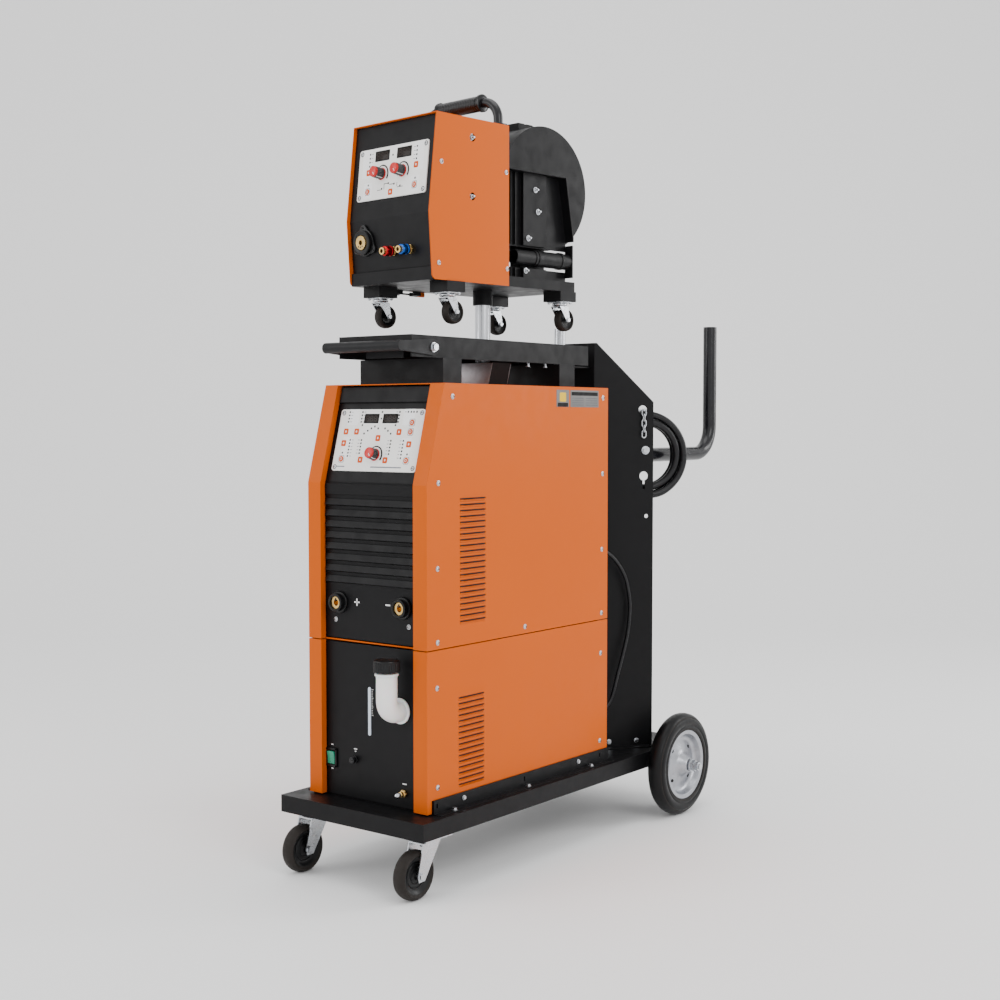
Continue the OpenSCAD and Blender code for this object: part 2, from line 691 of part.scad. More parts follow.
// Fuse, drain cock, level gauge, rocker frame and hose tails
module cooler_fittings() at_frame() {
    color(black) translate([-113, panel_y, 241]) difference() {
        translate([-15, -4, -20]) cube([30, 4, 40]);
        translate([-10, -10, -15]) cube([20, 20, 30]);
    }
    color(zinc) translate([-113, panel_y - 1, 241]) x_rod(2, 21);
    color(black) translate([-113, panel_y + 8, 241]) difference() {
        translate([-13, -8, -17]) cube([26, 20, 34]);
        translate([-10, -20, -15]) cube([20, 24, 30]);
    }
    color(black) translate([-46, panel_y, 245]) rotate([90, 0, 0]) {
        cylinder(r = 8, h = 4);
        cylinder(r = 6, h = 13);
    }
    color("#c9d6e2") translate([-9, panel_y - 1.6, 300]) cube([8, 1.6, 102]);
    color(brass_c) translate([90, panel_y, 194]) rotate([90, 0, 0]) {
        hex(8, 8);
        cylinder(r = 5.5, h = 14);
    }
    color(zinc) translate([90, panel_y - 14, 194]) rotate([90, 0, 0]) cylinder(r = 4, h = 8);
    for (x = [-110, -80, -50]) color(x < -90 ? "#b3272d" : x < -60 ? "#1d4f9e" : brass_c)
        translate([x, cab_d - 9, 420]) rotate([-90, 0, 0]) {
            hex(10, 8);
            cylinder(r = 6.5, h = 30);
        }
    translate([lead_low.x, cab_d - 9, lead_low.y]) gland(9, lead_d / 2, 24);
}

// What the two housings hold: transformer, heat sink, fan, boards, tank, pump, radiator
module inner_modules() at_frame() {
    color("#7a4a2a") translate([-90, 200, seam_z + 7]) cube([180, 150, 130]);
    color(zinc) for (i = [0 : 8]) translate([-110 + i * 26, 380, seam_z + 7]) cube([6, 190, 112]);
    color(zinc) translate([-112, 380, seam_z + 118]) cube([222, 190, 6]);
    color("#1f6b3a") translate([-120, 110, 760]) cube([240, 440, 3]);
    color(zinc) for (x = [-120, 116], y = [110, 520]) translate([x, y, seam_z + 7]) cube([4, 30, 760 - seam_z - 7]);
    color(black) translate([0, cab_d - 42, 785]) rotate([90, 0, 0]) difference() {
        cylinder(r = 62, h = 30);
        translate([0, 0, 4]) cylinder(r = 56, h = 30);
    }
    color(zinc) for (x = [-66, 60]) translate([x, cab_d - 70, 763]) cube([6, 28, 30]);
    color(white_c) translate([-60, 60, 262]) cube([190, 250, 170]);
    color(white_c) translate([neck_x, 62, 362]) rotate([90, 0, 0]) difference() {
        cylinder(r = neck_r - 3.5, h = 30);
        translate([0, 0, -1]) cylinder(r = 12, h = 40);
    }
    color(zinc) for (x = [-50, 110]) translate([x, 70, deck_z + 3]) cube([6, 220, 98]);
    color(black) translate([-100, 340, 215]) rotate([-90, 0, 0]) cylinder(r = 42, h = 130);
    color(zinc) translate([-125, 350, deck_z + 3]) cube([50, 100, 12]);
    color(zinc) translate([-120, cab_d - 60, deck_z + 10]) cube([240, 40, 240]);
}

// ---------- cables ----------

coil_in = 71;                       // inner radius of the coil
coil_out = 107;
coil_w = 38;
coil_c = [139, 845, 868];           // middle of the coil, round the hook
coil_face = -cheek_turn;            // the coil hangs parallel to the cheek

mains_points = [[20, 660, 600], [20, 680, 600], [20, 700, 600], [20, 719, 602.5], [20, 737.5, 610],
    [22, 753, 622], [26, 765, 637.5], [33, 772, 655.5], [43, 775, 675], [55, 775, 700],
    [66, 774, 725], [76, 773, 750], [84, 772, 775], [89, 771, 800], [91, 770, 825], [92, 770, 864]];
tail_points = [[129.5, 852.5, 769.5], [117, 836, 767], [105, 821, 759], [94.5, 807.5, 746], [87, 798, 729.5],
    [82, 791.5, 710], [80.5, 789.5, 689.5], [80.5, 789.5, 665], [80.5, 789.5, 642], [80.5, 789.5, 620]];

module mains_cable() color(black) at_frame() {
    swept_tube(mains_points, mains_d);
    swept_tube(tail_points, mains_d);
}

module mains_coil() color(black) at_frame() translate(coil_c) rotate([0, 0, coil_face]) rotate([0, 90, 0])
    rotate_extrude($fn = 96) {
        mid = (coil_in + coil_out) / 2;
        translate([mid, 0]) rrect([coil_out - coil_in, coil_w], 9);
    }

module mains_plug() color(black) at_frame() translate(tail_points[9]) rotate([180, 0, 0]) {
    difference() {
        union() {
            cylinder(r1 = 12, r2 = 17, h = 34);
            translate([0, 0, 30]) cylinder(r = 21, h = 50);
            translate([0, 0, 78]) cylinder(r = 25, h = 10);
            translate([0, 0, 86]) cylinder(r = 24, h = 30);
        }
        translate([0, 0, 92]) cylinder(r = 21, h = 40);
    }
    for (a = [30 : 72 : 318]) rotate([0, 0, a]) translate([14, 0, 88]) cylinder(r = 2.5, h = 24, $fn = 24);
}

lead_points = [[110, 658, 648], [110, 675, 648], [111, 694, 646], [115, 714, 638], [121, 733, 624],
    [128, 750, 603], [134, 764, 577], [137, 773, 547], [139, 778, 510], [138, 777, 475],
    [137, 771, 440], [134, 762, 405], [130, 752, 370], [125, 743, 335], [120, 738, 305],
    [116, 731, 283], [113, 717, 268], [111, 698, 262], [110, 678, 262], [110, 658, 262]];

module cooler_lead() color(black) at_frame() swept_tube(route(lead_points, 2), lead_d, 8);

// ---------- wire feeder ----------

function feed_side(inset = 0) = [[feed_low_back + inset, inset], [feed_d, inset], [feed_d, feed_h],
    [feed_top_back + inset, feed_h], [inset, feed_kink]];

// Base tray, dividing wall, rear wall, rear side frame, collar and caster blocks
module feeder_chassis() color(black) at_feeder() difference() {
    half = feed_w / 2 - sheet - 0.5;
    union() {
        translate([-half, feed_low_back + 3, 0]) cube([2 * half, feed_base_d - feed_low_back - 3, plate]);
        for (x = [-half, half - plate]) translate([x, feed_d + 2, 0]) cube([plate, feed_base_d - feed_d - 2, 22]);
        translate([-half, feed_base_d - plate, 0]) cube([2 * half, plate, 22]);
        translate([-half, feed_low_back + 3, 0]) cube([2 * half, plate, 27]);
        // dividing wall and rear wall of the box
        translate([-14, 30, plate]) cube([2, feed_d - 34, feed_h - 30]);
        translate([-half, feed_d - 4, plate]) cube([2 * half, 2, feed_h - 8]);
        rear_bay(half);
        translate([0, feed_post_y, -32]) cylinder(r = 22, h = 60);
        for (x = [-small_x, small_x], y = small_ys) translate([x - 26, y - 26, -block_h]) cube([52, 52, block_h]);
        for (x = [-small_x, small_x], y = small_ys) translate([x, y, -block_h - 9]) cylinder(r = 13, h = 10);
        for (x = [-small_x, small_x], y = small_ys) translate([x, y, -block_h - 14.5]) cylinder(r = 4, h = 10);
        door_hinge_seats();
    }
    translate([0, feed_post_y, -40]) cylinder(r = post_r + run, h = 60);
}

bay_x = drum_face_x + 1;        // inner wall of the open bay on the right rear
boot_c = [107, 330, 68];        // middle of the hose boot

// Side frame behind the orange box: inner wall, top and rear flanges, hat channel
module rear_bay(half) {
    difference() {
        translate([bay_x, 0, 0]) side_plate([[feed_d + 1, plate], [446, plate], [446, 122], [422, 253],
            [feed_d + 1, 253]], 2);
        translate([bay_x - 5, 255, boot_c.z - 23]) cube([20, 220, 46]);
    }
    translate([bay_x + 1, feed_d + 2, 250.5]) cube([half - bay_x - 1, 183, 2]);
    translate([bay_x + 0.5, 0, 0]) side_plate([[444.5, 112], [448, 112], [448, 122], [424.5, 252.2], [421, 252.2],
        [444.5, 122]], half - bay_x - 0.5);
    for (z = [[1, 44], [94, 157]]) {
        translate([bay_x, 298, z[0]]) linear_extrude(z[1])
            polygon([[1, 0], [11, 0], [11, 74], [1, 74], [1, 72], [9, 72], [9, 2], [1, 2]]);
        for (y = [262, 276]) translate([bay_x + 1, y, z[0]]) cube([6, 2, z[1]]);
    }
}

// Black face of the feeder, kinked like the side sheets
module feeder_front() color(black) at_feeder() difference() {
    half = feed_w / 2 - sheet - 0.5;
    translate([-half, 0, 0]) side_plate([[feed_low_back + recess, 28], [recess, feed_kink],
        [feed_top_back + recess, feed_h - 2.5], [feed_top_back + recess + 3, feed_h - 2.5],
        [recess + 3, feed_kink], [feed_low_back + recess + 3, 28]], 2 * half);
    translate([-80, -5, 90]) y_rod(19, 40);
    for (x = [8, 58]) translate([x, -5, 66]) y_rod(8, 40);
    feed_panel_place() cube([204, 100, 30], center = true);
}

feed_panel_mid = 232;
feed_panel_rect = [214, 110];

module feed_panel_place() {
    back = recess + feed_top_back * (feed_panel_mid - feed_kink) / (feed_h - feed_kink);
    translate([0, back, feed_panel_mid]) rotate([90 - atan2(feed_top_back, feed_h - feed_kink), 0, 0]) children();
}

// Top and right side sheet
module feeder_cover() color(orange) at_feeder() difference() {
    union() {
        translate([feed_w / 2 - sheet, 0, 0]) rounded_side(sheet);
        translate([-feed_w / 2 + sheet + 0.5, feed_top_back, feed_h - sheet])
            cube([feed_w - sheet - 1, feed_d - feed_top_back, sheet]);
    }
    for (z = [178.6, 300]) translate([feed_w / 2, 125, z]) x_rod(8, 20);
}

// Side sheet outline with a round lower front corner
module rounded_side(thick) {
    r = 12;
    difference() {
        side_plate(feed_side(), thick);
        translate([-1, feed_low_back - 2, -1]) cube([thick + 2, r + 1, r + 1]);
    }
    translate([thick / 2, feed_low_back + r - 1, r]) x_rod(r, thick);
}

door_x = -feed_w / 2;
door_axis = [door_x - 3, -5.5];     // x and z of the hinge under the door's lower edge
door_pin_r = 2;

// Hinge seats and pin on the tray
module door_hinge_seats() {
    for (y = [133, 187]) {
        translate([door_axis.x, y, door_axis.y]) y_rod(4.5, 20);
        translate([door_axis.x, y, door_axis.y - 3]) cube([14, 20, 3]);
        translate([door_axis.x + 8, y, door_axis.y - 2]) cube([6, 20, 9]);
    }
    translate([door_axis.x, 112, door_axis.y]) y_rod(door_pin_r, 116);
}

// Left side sheet, a door on a hinge along its lower edge
module feeder_door() color(orange) at_feeder() {
    translate([door_x, 0, 0]) rounded_side(sheet);
    for (y = [112, 208]) difference() {
        union() {
            translate([door_axis.x, y, door_axis.y]) y_rod(4.5, 20);
            translate([door_x - 3, y, door_axis.y]) cube([4, 20, 20]);
        }
        translate([door_axis.x, y - 1, door_axis.y]) y_rod(door_pin_r + run, 22);
    }
    color(soft_black) translate([door_x - 5, 110, 300]) cube([5, 36, 16]);
}

hinge_y = drum_y + drum_r + 7;
hinge_pin_r = 2.5;

// Fixed half of the spool housing with the spool's axle
module drum_housing() color(soft_black) at_feeder() {
    difference() {
        translate([0.3, drum_y, drum_z]) rotate([0, 90, 0]) cylinder(r = drum_r, h = drum_face_x - 0.3, $fn = 96);
        translate([-1, drum_y, drum_z]) rotate([0, 90, 0])
            cylinder(r = drum_r - drum_wall, h = drum_face_x + 1 - drum_wall, $fn = 96);
        translate([-5, drum_y - drum_r - 5, drum_z - 5]) cube([60, 30, 24]);
    }
    translate([-88, drum_y, drum_z]) rotate([0, 90, 0]) cylinder(r = 24, h = 88 + drum_face_x - 1);
    // struts from the side frame and the latch on top
    translate([6, drum_y - 34, drum_z + drum_r - 6]) cube([44, 50, 16]);
    for (z = [drum_z - 60, drum_z + 40]) {
        translate([3, hinge_y - 18, z]) cube([10, 18, 20]);
        translate([0, hinge_y, z]) cylinder(r = 6, h = 20);
    }
    translate([0, hinge_y, drum_z - 64]) cylinder(r = hinge_pin_r, h = 128);
    translate([30, drum_y - 40, plate]) cube([30, 80, 96]);
}

// Swinging half of the spool housing
module drum_cover() color(soft_black) at_feeder() {
    difference() {
        translate([-drum_half, drum_y, drum_z]) rotate([0, 90, 0])
            cylinder(r = drum_r, h = drum_half - 0.3, $fn = 96);
        translate([-drum_half + drum_wall, drum_y, drum_z]) rotate([0, 90, 0])
            cylinder(r = drum_r - drum_wall, h = drum_half + 10, $fn = 96);
    }
    for (z = [drum_z - 36, drum_z + 16]) difference() {
        union() {
            translate([-13, hinge_y - 18, z]) cube([10, 18, 20]);
            translate([0, hinge_y, z]) cylinder(r = 6, h = 20);
        }
        translate([0, hinge_y, z - 1]) cylinder(r = hinge_pin_r + run, h = 30);
    }
}

module feeder_handle() color(black) at_feeder() {
    rise = 54;
    bend = 26;
    half = 112;
    top = feed_h + rise;
    y = feed_d - 16;
    translate([0, y, top]) x_rod(15, 150);
    both_sides() {
        translate([71, y, top]) x_rod(19, 8);
        translate([(half - bend + 70) / 2, y, top]) x_rod(10, half - bend - 68);
        translate([half - bend, y, top - bend]) rotate([90, 0, 0]) rotate_extrude(angle = 90)
            translate([bend, 0]) circle(10);
        translate([half, y, feed_h]) cylinder(r = 10, h = rise - bend);
        translate([half - 14, y - 14, feed_h]) cube([28, 28, 4]);
    }
}

module feeder_panel() at_feeder() feed_panel_place() {
    color(white_c) difference() {
        union() {
            linear_extrude(2.4) rrect(feed_panel_rect, 6);
            translate([0, 0, -3]) linear_extrude(3.2) rrect([203, 99], 4);
        }
        for (x = [-1, 1], y = [-1, 1])
            translate([x * (feed_panel_rect.x / 2 - 8), y * (feed_panel_rect.y / 2 - 8), 1.6]) cylinder(r = 3.4, h = 2);
    }
    color(zinc) for (x = [-1, 1], y = [-1, 1])
        translate([x * (feed_panel_rect.x / 2 - 8), y * (feed_panel_rect.y / 2 - 8), 1.4]) cylinder(r = 3, h = 2);
    color("#3a2a24") for (x = [-32, 32]) translate([x, 34, 2.2]) linear_extrude(0.8) rrect([42, 22], 1.5);
    color(zinc) for (x = feed_knob_xs) translate([x, feed_knob_up, 2]) cylinder(r = 3, h = 22);
}

feed_knob_xs = [-32, 32];
feed_knob_up = -2;

module feeder_knob(x) color("#c5202a") at_feeder() feed_panel_place()
    translate([x, feed_knob_up, 3]) knob(12, 27);

// On the slanted lower part of the black face, z pointing out of it
module at_low_front(x, z) {
    lean = feed_low_back / (feed_kink - 28);
    at_feeder() translate([x, recess - run + lean * (feed_kink - z), z]) rotate([90 + atan(lean), 0, 0]) children();
}

// Torch socket: moulded three-lobed flange and brass contact face
module euro_socket() at_low_front(-80, 90) {
    color(black) difference() {
        union() {
            cylinder(r = 26, h = 14);
            for (a = [90, 210, 330]) rotate([0, 0, a]) translate([30, 0, 0]) cylinder(r = 8, h = 6);
            translate([0, 0, -12]) cylinder(r = 18.5, h = 14);
        }
        translate([0, 0, -20]) cylinder(r = 15, h = 60);
    }
    color(brass_c) difference() {
        translate([0, 0, -30]) cylinder(r = 15, h = 46);
        translate([0, 3, -40]) cylinder(r = 5, h = 60);
        for (x = [-6, 0, 6]) translate([x, -7 + abs(x) / 4, 10]) cylinder(r = 1.8, h = 10, $fn = 24);
    }
}

// Quick couplings for the torch's cooling water
module water_couplings() for (x = [8, 58]) at_low_front(x, 66) {
    color(brass_c) difference() {
        union() {
            translate([0, 0, -16]) cylinder(r = 7.5, h = 16);
            hex(11, 5);
            cylinder(r = 8, h = 36);
        }
        translate([0, 0, 14]) cylinder(r = 4.5, h = 30);
    }
    color(x < 30 ? "#a31f28" : "#1f55a8") difference() {
        translate([0, 0, 10]) cylinder(r = 11, h = 20);
        translate([0, 0, 5]) cylinder(r = 8, h = 40);
    }
}

// Slanted sleeve that guides the interconnecting hoses out of the rear
module hose_boot() color(black) at_feeder() translate(boot_c) {
    difference() {
        union() {
            translate([bay_x + 2.2 - boot_c.x, 114, -36]) cube([22, 3, 72]);
            y_rod(17.5, 116);
            translate([0, -60, 0]) y_rod(16, 62);
            translate([0, 8, 0]) y_rod(19, 8);
            translate([0, 84, 0]) y_rod(19, 10);
        }
        translate([0, -90, 0]) y_rod(14, 240);
        translate([-30, -62, -30]) rotate([0, 0, -38]) translate([-20, -60, 0]) cube([80, 60, 60]);
    }
}

// Feed plate, gear case, motor, roll pair and wire guides
module wire_drive() at_feeder() {
    color(zinc) translate([-22, 70, 40]) cube([7.5, 120, 110]);
    color(soft_black) translate([-11.5, 130, 95]) rotate([0, 90, 0]) cylinder(r = 36, h = 100);
    for (y = [100, 160]) color(zinc) translate([-38, y, 74]) rotate([0, 90, 0]) cylinder(r = 15, h = 16.5);
    for (y = [100, 160]) color(zinc) translate([-38, y, 105]) rotate([0, 90, 0]) cylinder(r = 15, h = 16.5);
    color("#c5202a") translate([-36, 118, 122]) cube([12, 24, 48]);
    color(soft_black) translate([-36, 74, 118]) cube([14.5, 112, 8]);
}

spool_r = 112;
spool_w = 90;
spool_x = -84;

module wire_spool() color("#2d2d30") at_feeder() translate([spool_x, drum_y, drum_z]) rotate([0, 90, 0])
    difference() {
        union() {
            cylinder(r = spool_r, h = 3, $fn = 96);
            translate([0, 0, spool_w - 3]) cylinder(r = spool_r, h = 3, $fn = 96);
            cylinder(r = 95, h = spool_w - 1, $fn = 96);
        }
        translate([0, 0, -1]) cylinder(r = 24 + run, h = spool_w + 2);
    }

small_top = -block_h - 10;
small_axle_z = -62;

module small_fork(x, y) color(zinc) at_feeder() translate([x, y, 0]) {
    difference() {
        union() {
            translate([-14, -14, small_top - 2]) cube([28, 28, 2]);
            for (sx = [-14, 12]) translate([sx, 0, 0]) side_plate([[-14, small_top - 1], [14, small_top - 1],
                [small_trail + 5, small_axle_z - 3], [small_trail - 4, small_axle_z - 5], [-2, small_axle_z + 12]], 2);
        }
        translate([0, 0, small_top - 10]) cylinder(r = 4 + run, h = 20);
        translate([0, small_trail, small_axle_z]) x_rod(2.5, 60);
    }
    translate([0, small_trail, small_axle_z]) {
        x_rod(2.5, 32);
        for (d = [-1, 1]) rotate([0, d * 90, 0]) translate([0, 0, 14]) cylinder(r = 4.5, h = 2.4);
    }
}

module small_wheel(x, y) color(soft_black) at_feeder() translate([x, y + small_trail, small_axle_z])
    rotate([0, 90, 0]) difference() {
        rotate_extrude($fn = 64) polygon([[0, -11.5], [7, -11.5], [7, -7], [15, -7], [18, -9.5], [22, -9],
            [small_r, -5], [small_r, 5], [22, 9], [18, 9.5], [15, 7], [7, 7], [7, 11.5], [0, 11.5]]);
        cylinder(r = 2.5 + run, h = 40, center = true);
    }

cart_deck();
rear_column();
top_platform();
platform_supports();
front_handle();
posts();
cable_hook();
bottle_chain();
rear_axle();
caster_plates();
frame_bolts();
power_shell();
power_front();
control_panel();
output_sockets();
power_rear();
cooler_shell();
cooler_front();
filler_neck();
cooler_fittings();
inner_modules();
mains_cable();
mains_coil();
mains_plug();
cooler_lead();
main_knob();
filler_cap();
cooler_switch();
breaker_lever();
caster_fork(-1);  // caster_fork_left
caster_fork(1);  // caster_fork_right
caster_wheel(-1);  // caster_wheel_left
caster_wheel(1);  // caster_wheel_right
rear_rim(-1);  // rear_rim_left
rear_rim(1);  // rear_rim_right
rear_tyre(-1);  // rear_tyre_left
rear_tyre(1);  // rear_tyre_right
feeder_chassis();
feeder_front();
feeder_cover();
feeder_door();
drum_housing();
drum_cover();
feeder_handle();
feeder_panel();
euro_socket();
water_couplings();
hose_boot();
wire_drive();
wire_spool();
feeder_knob(feed_knob_xs[0]);  // feeder_knob_left
feeder_knob(feed_knob_xs[1]);  // feeder_knob_right
small_fork(-small_x, small_ys[0]);  // small_fork_fl
small_fork(small_x, small_ys[0]);  // small_fork_fr
small_fork(-small_x, small_ys[1]);  // small_fork_rl
small_fork(small_x, small_ys[1]);  // small_fork_rr
small_wheel(-small_x, small_ys[0]);  // small_wheel_fl
small_wheel(small_x, small_ys[0]);  // small_wheel_fr
small_wheel(-small_x, small_ys[1]);  // small_wheel_rl
small_wheel(small_x, small_ys[1]);  // small_wheel_rr
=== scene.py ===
import json
import math

import bmesh
import bpy
from mathutils import Matrix, Vector


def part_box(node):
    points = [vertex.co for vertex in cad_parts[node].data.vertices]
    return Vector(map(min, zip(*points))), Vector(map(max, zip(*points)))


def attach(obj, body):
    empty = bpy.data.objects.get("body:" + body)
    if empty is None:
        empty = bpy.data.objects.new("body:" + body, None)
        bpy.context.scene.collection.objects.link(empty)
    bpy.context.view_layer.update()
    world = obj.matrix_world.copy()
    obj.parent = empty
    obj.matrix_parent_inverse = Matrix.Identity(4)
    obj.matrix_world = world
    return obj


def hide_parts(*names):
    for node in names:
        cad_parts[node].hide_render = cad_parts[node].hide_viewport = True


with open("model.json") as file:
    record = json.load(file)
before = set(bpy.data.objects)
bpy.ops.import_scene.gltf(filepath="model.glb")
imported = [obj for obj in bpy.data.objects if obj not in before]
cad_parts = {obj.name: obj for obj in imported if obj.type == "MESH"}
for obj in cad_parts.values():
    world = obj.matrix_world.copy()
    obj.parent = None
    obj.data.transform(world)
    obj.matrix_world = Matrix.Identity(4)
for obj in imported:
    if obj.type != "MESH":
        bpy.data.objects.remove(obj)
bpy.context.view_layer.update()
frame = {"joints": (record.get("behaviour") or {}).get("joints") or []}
JOINTS = {j["name"]: j for j in frame["joints"]}
MM = 0.001

# ---------- places, some taken from the frame, some given as numbers ---

CAB_LOW, CAB_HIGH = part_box("power_shell")
FRONT = CAB_LOW.y / MM              # cabinet's front face, in mm
HALF_W = CAB_HIGH.x / MM
CAB_D = (CAB_HIGH.y - CAB_LOW.y) / MM
SEAM = CAB_LOW.z / MM
TOP = CAB_HIGH.z / MM
KINK = 822
SLANT_BACK = 55
PANEL_Y = 16                        # black fronts behind the shells' front edge

AT_CART = Matrix.Translation((0, FRONT * MM, 0))
FEED_TURN = math.radians(-6.2)
FEED_POST = Vector(JOINTS["feeder_swivel"]["pos_m"])
AT_FEEDER = (Matrix.Translation(FEED_POST) @ Matrix.Rotation(FEED_TURN, 4, "Z")
             @ Matrix.Translation((0, -0.285, 0)))
FEED_W, FEED_D, FEED_H = 258, 235, 340
FEED_KINK, FEED_BACK, FEED_LOW, RECESS = 137, 22, 9, 8
DRUM_Y, DRUM_Z, DRUM_R = 382, 226, 136


def tilted(base, y, z, back, rise):
    """Frame of a slanted panel: x right, y up the slant, z out of it."""
    turn = math.pi / 2 - math.atan2(back, rise)
    return base @ Matrix.Translation((0, y * MM, z * MM)) @ Matrix.Rotation(turn, 4, "X")


AT_SLANT = tilted(AT_CART, PANEL_Y, KINK, SLANT_BACK, TOP - KINK)
AT_FEED_PANEL = tilted(AT_FEEDER, RECESS + FEED_BACK * (232 - FEED_KINK) / (FEED_H - FEED_KINK), 232,
                       FEED_BACK, FEED_H - FEED_KINK)


def turned(base, place, axis="X", degrees=0):
    """A frame at place, in mm, turned about one of its axes."""
    return base @ Matrix.Translation(Vector(place) * MM) @ Matrix.Rotation(math.radians(degrees), 4, axis)


def spun(at, degrees):
    """A frame turned about its own z axis."""
    return at @ Matrix.Rotation(math.radians(degrees), 4, "Z")


def moved(at, x=0.0, y=0.0, z=0.0):
    """A frame moved along its own axes, in mm."""
    return at @ Matrix.Translation((x * MM, y * MM, z * MM))


# ---------- camera ----------

camera_data = bpy.data.cameras.new("camera")
camera_data.lens = 53.66
camera_data.sensor_width = 36
camera = bpy.data.objects.new("camera", camera_data)
camera.location = (2.0778, -2.7765, 0.947)
camera.rotation_euler = (math.radians(90 - 2.98), 0, math.radians(37.79))
bpy.context.scene.collection.objects.link(camera)
bpy.context.scene.camera = camera

# ---------- materials ----------


class Paint:
    """A node material built up from a Principled shader."""

    def __init__(self, name, colour, rough=0.5, metal=0.0, **sockets):
        self.mat = bpy.data.materials.new(name)
        self.mat.use_nodes = True
        self.tree = self.mat.node_tree
        self.shader = self.tree.nodes["Principled BSDF"]
        self.mat.diffuse_color = (*colour, 1)
        self.colour, self.rough = colour, rough
        self.shader.inputs["Base Color"].default_value = (*colour, 1)
        self.shader.inputs["Roughness"].default_value = rough
        self.shader.inputs["Metallic"].default_value = metal
        for key, value in sockets.items():
            self.shader.inputs[key.replace("_", " ")].default_value = value
        self.coords = self.node("ShaderNodeTexCoord").outputs["Object"]
        self.normal = None

    def node(self, kind, **inputs):
        made = self.tree.nodes.new(kind)
        for key, value in inputs.items():
            socket = made.inputs[key.replace("_", " ")]
            if hasattr(value, "links"):
                self.tree.links.new(value, socket)
            else:
                socket.default_value = value
        return made

    def noise(self, scale, detail=3.0, stretch=None):
        vector = self.coords
        if stretch:
            vector = self.node("ShaderNodeMapping", Vector=vector, Scale=stretch).outputs["Vector"]
        return self.node("ShaderNodeTexNoise", Vector=vector, Scale=scale, Detail=detail).outputs["Fac"]

    def ramp(self, fac, low, high, a=0.0, b=1.0):
        made = self.node("ShaderNodeMapRange", Value=fac)
        for key, value in zip(("From Min", "From Max", "To Min", "To Max"), (low, high, a, b)):
            made.inputs[key].default_value = value
        return made.outputs["Result"]

    def vary_colour(self, fac, other, low=0.35, high=0.65, amount=1.0):
        """Blends the base colour towards another one where fac runs from low to high."""
        mix = self.node("ShaderNodeMix")
        mix.data_type = "RGBA"
        self.tree.links.new(self.ramp(fac, low, high, 0, amount), mix.inputs["Factor"])
        now = self.shader.inputs["Base Color"]
        if now.is_linked:
            self.tree.links.new(now.links[0].from_socket, mix.inputs["A"])
        else:
            mix.inputs["A"].default_value = (*self.colour, 1)
        mix.inputs["B"].default_value = (*other, 1)
        self.tree.links.new(mix.outputs["Result"], now)
        return self

    def vary_rough(self, fac, low, high):
        self.tree.links.new(self.ramp(fac, 0.3, 0.7, low, high), self.shader.inputs["Roughness"])
        return self

    def bump(self, fac, strength, distance):
        made = self.node("ShaderNodeBump", Height=fac, Strength=strength, Distance=distance)
        if self.normal is not None:
            self.tree.links.new(self.normal, made.inputs["Normal"])
        self.normal = made.outputs["Normal"]
        self.tree.links.new(self.normal, self.shader.inputs["Normal"])
        return self

    def round_edges(self, radius):
        self.normal = self.node("ShaderNodeBevel", Radius=radius).outputs["Normal"]
        self.tree.links.new(self.normal, self.shader.inputs["Normal"])
        return self


def powder_coat(name, colour, worn, rough, grain=900.0, height=0.00006, shine=0.14):
    paint = Paint(name, colour, rough, Specular_IOR_Level=shine)
    paint.round_edges(0.0009)
    paint.vary_colour(paint.noise(3.0), worn, 0.4, 0.75, 0.35)
    paint.vary_rough(paint.noise(40.0), rough - 0.06, rough + 0.08)
    paint.bump(paint.noise(grain, 2.0), 0.35, height)
    paint.bump(paint.noise(90.0, 2.0), 0.10, 0.0001)
    return paint.mat


def metal(name, colour, rough, streak=(1, 1, 1), stain=None):
    paint = Paint(name, colour, rough, 1.0)
    paint.round_edges(0.0005)
    paint.vary_colour(paint.noise(60.0, 4.0), stain or tuple(c * 0.72 for c in colour), 0.45, 0.75, 0.6)
    paint.vary_rough(paint.noise(160.0, 4.0, streak), max(rough - 0.08, 0.08), rough + 0.14)
    paint.bump(paint.noise(700.0, 2.0, streak), 0.12, 0.00005)
    return paint.mat


def moulded(name, colour, rough, grain=1200.0, strength=0.2, **sockets):
    paint = Paint(name, colour, rough, **sockets)
    paint.vary_colour(paint.noise(25.0, 4.0), tuple(min(1, c * 1.35 + 0.004) for c in colour), 0.4, 0.8, 0.4)
    paint.vary_rough(paint.noise(120.0), max(rough - 0.08, 0.05), rough + 0.1)
    paint.bump(paint.noise(grain, 2.0), strength, 0.00005)
    return paint.mat


ORANGE = powder_coat("orange_powder_coat", (0.60, 0.100, 0.0), (0.55, 0.086, 0.0), 0.36, shine=0.1)
BLACK = powder_coat("black_powder_coat", (0.0042, 0.0040, 0.0046), (0.008, 0.008, 0.009), 0.42, 700.0,
                    0.0001, 0.16)
DARK = powder_coat("charcoal_powder_coat", (0.007, 0.007, 0.008), (0.012, 0.012, 0.013), 0.42, 620.0,
                   0.00012, 0.2)
SMOOTH_BLACK = powder_coat("smooth_black_coat", (0.006, 0.006, 0.008), (0.01, 0.01, 0.011), 0.22, 400.0,
                           0.00002, 0.4)
ZINC = metal("zinc_plate", (0.58, 0.60, 0.63), 0.26, stain=(0.50, 0.50, 0.49))
ZINC_MATT = metal("zinc_sheet", (0.42, 0.43, 0.46), 0.32, (1, 1, 6))
BRASS = metal("brass", (0.78, 0.53, 0.20), 0.24)
RUBBER = moulded("black_rubber", (0.005, 0.005, 0.0055), 0.42, 500.0, 0.25, Specular_IOR_Level=0.25)
CABLE = moulded("cable_sheath", (0.005, 0.005, 0.006), 0.33, 260.0, 0.15, Specular_IOR_Level=0.3)
TYRE = moulded("tyre_rubber", (0.0025, 0.0025, 0.003), 0.38, 300.0, 0.3, Specular_IOR_Level=0.22)
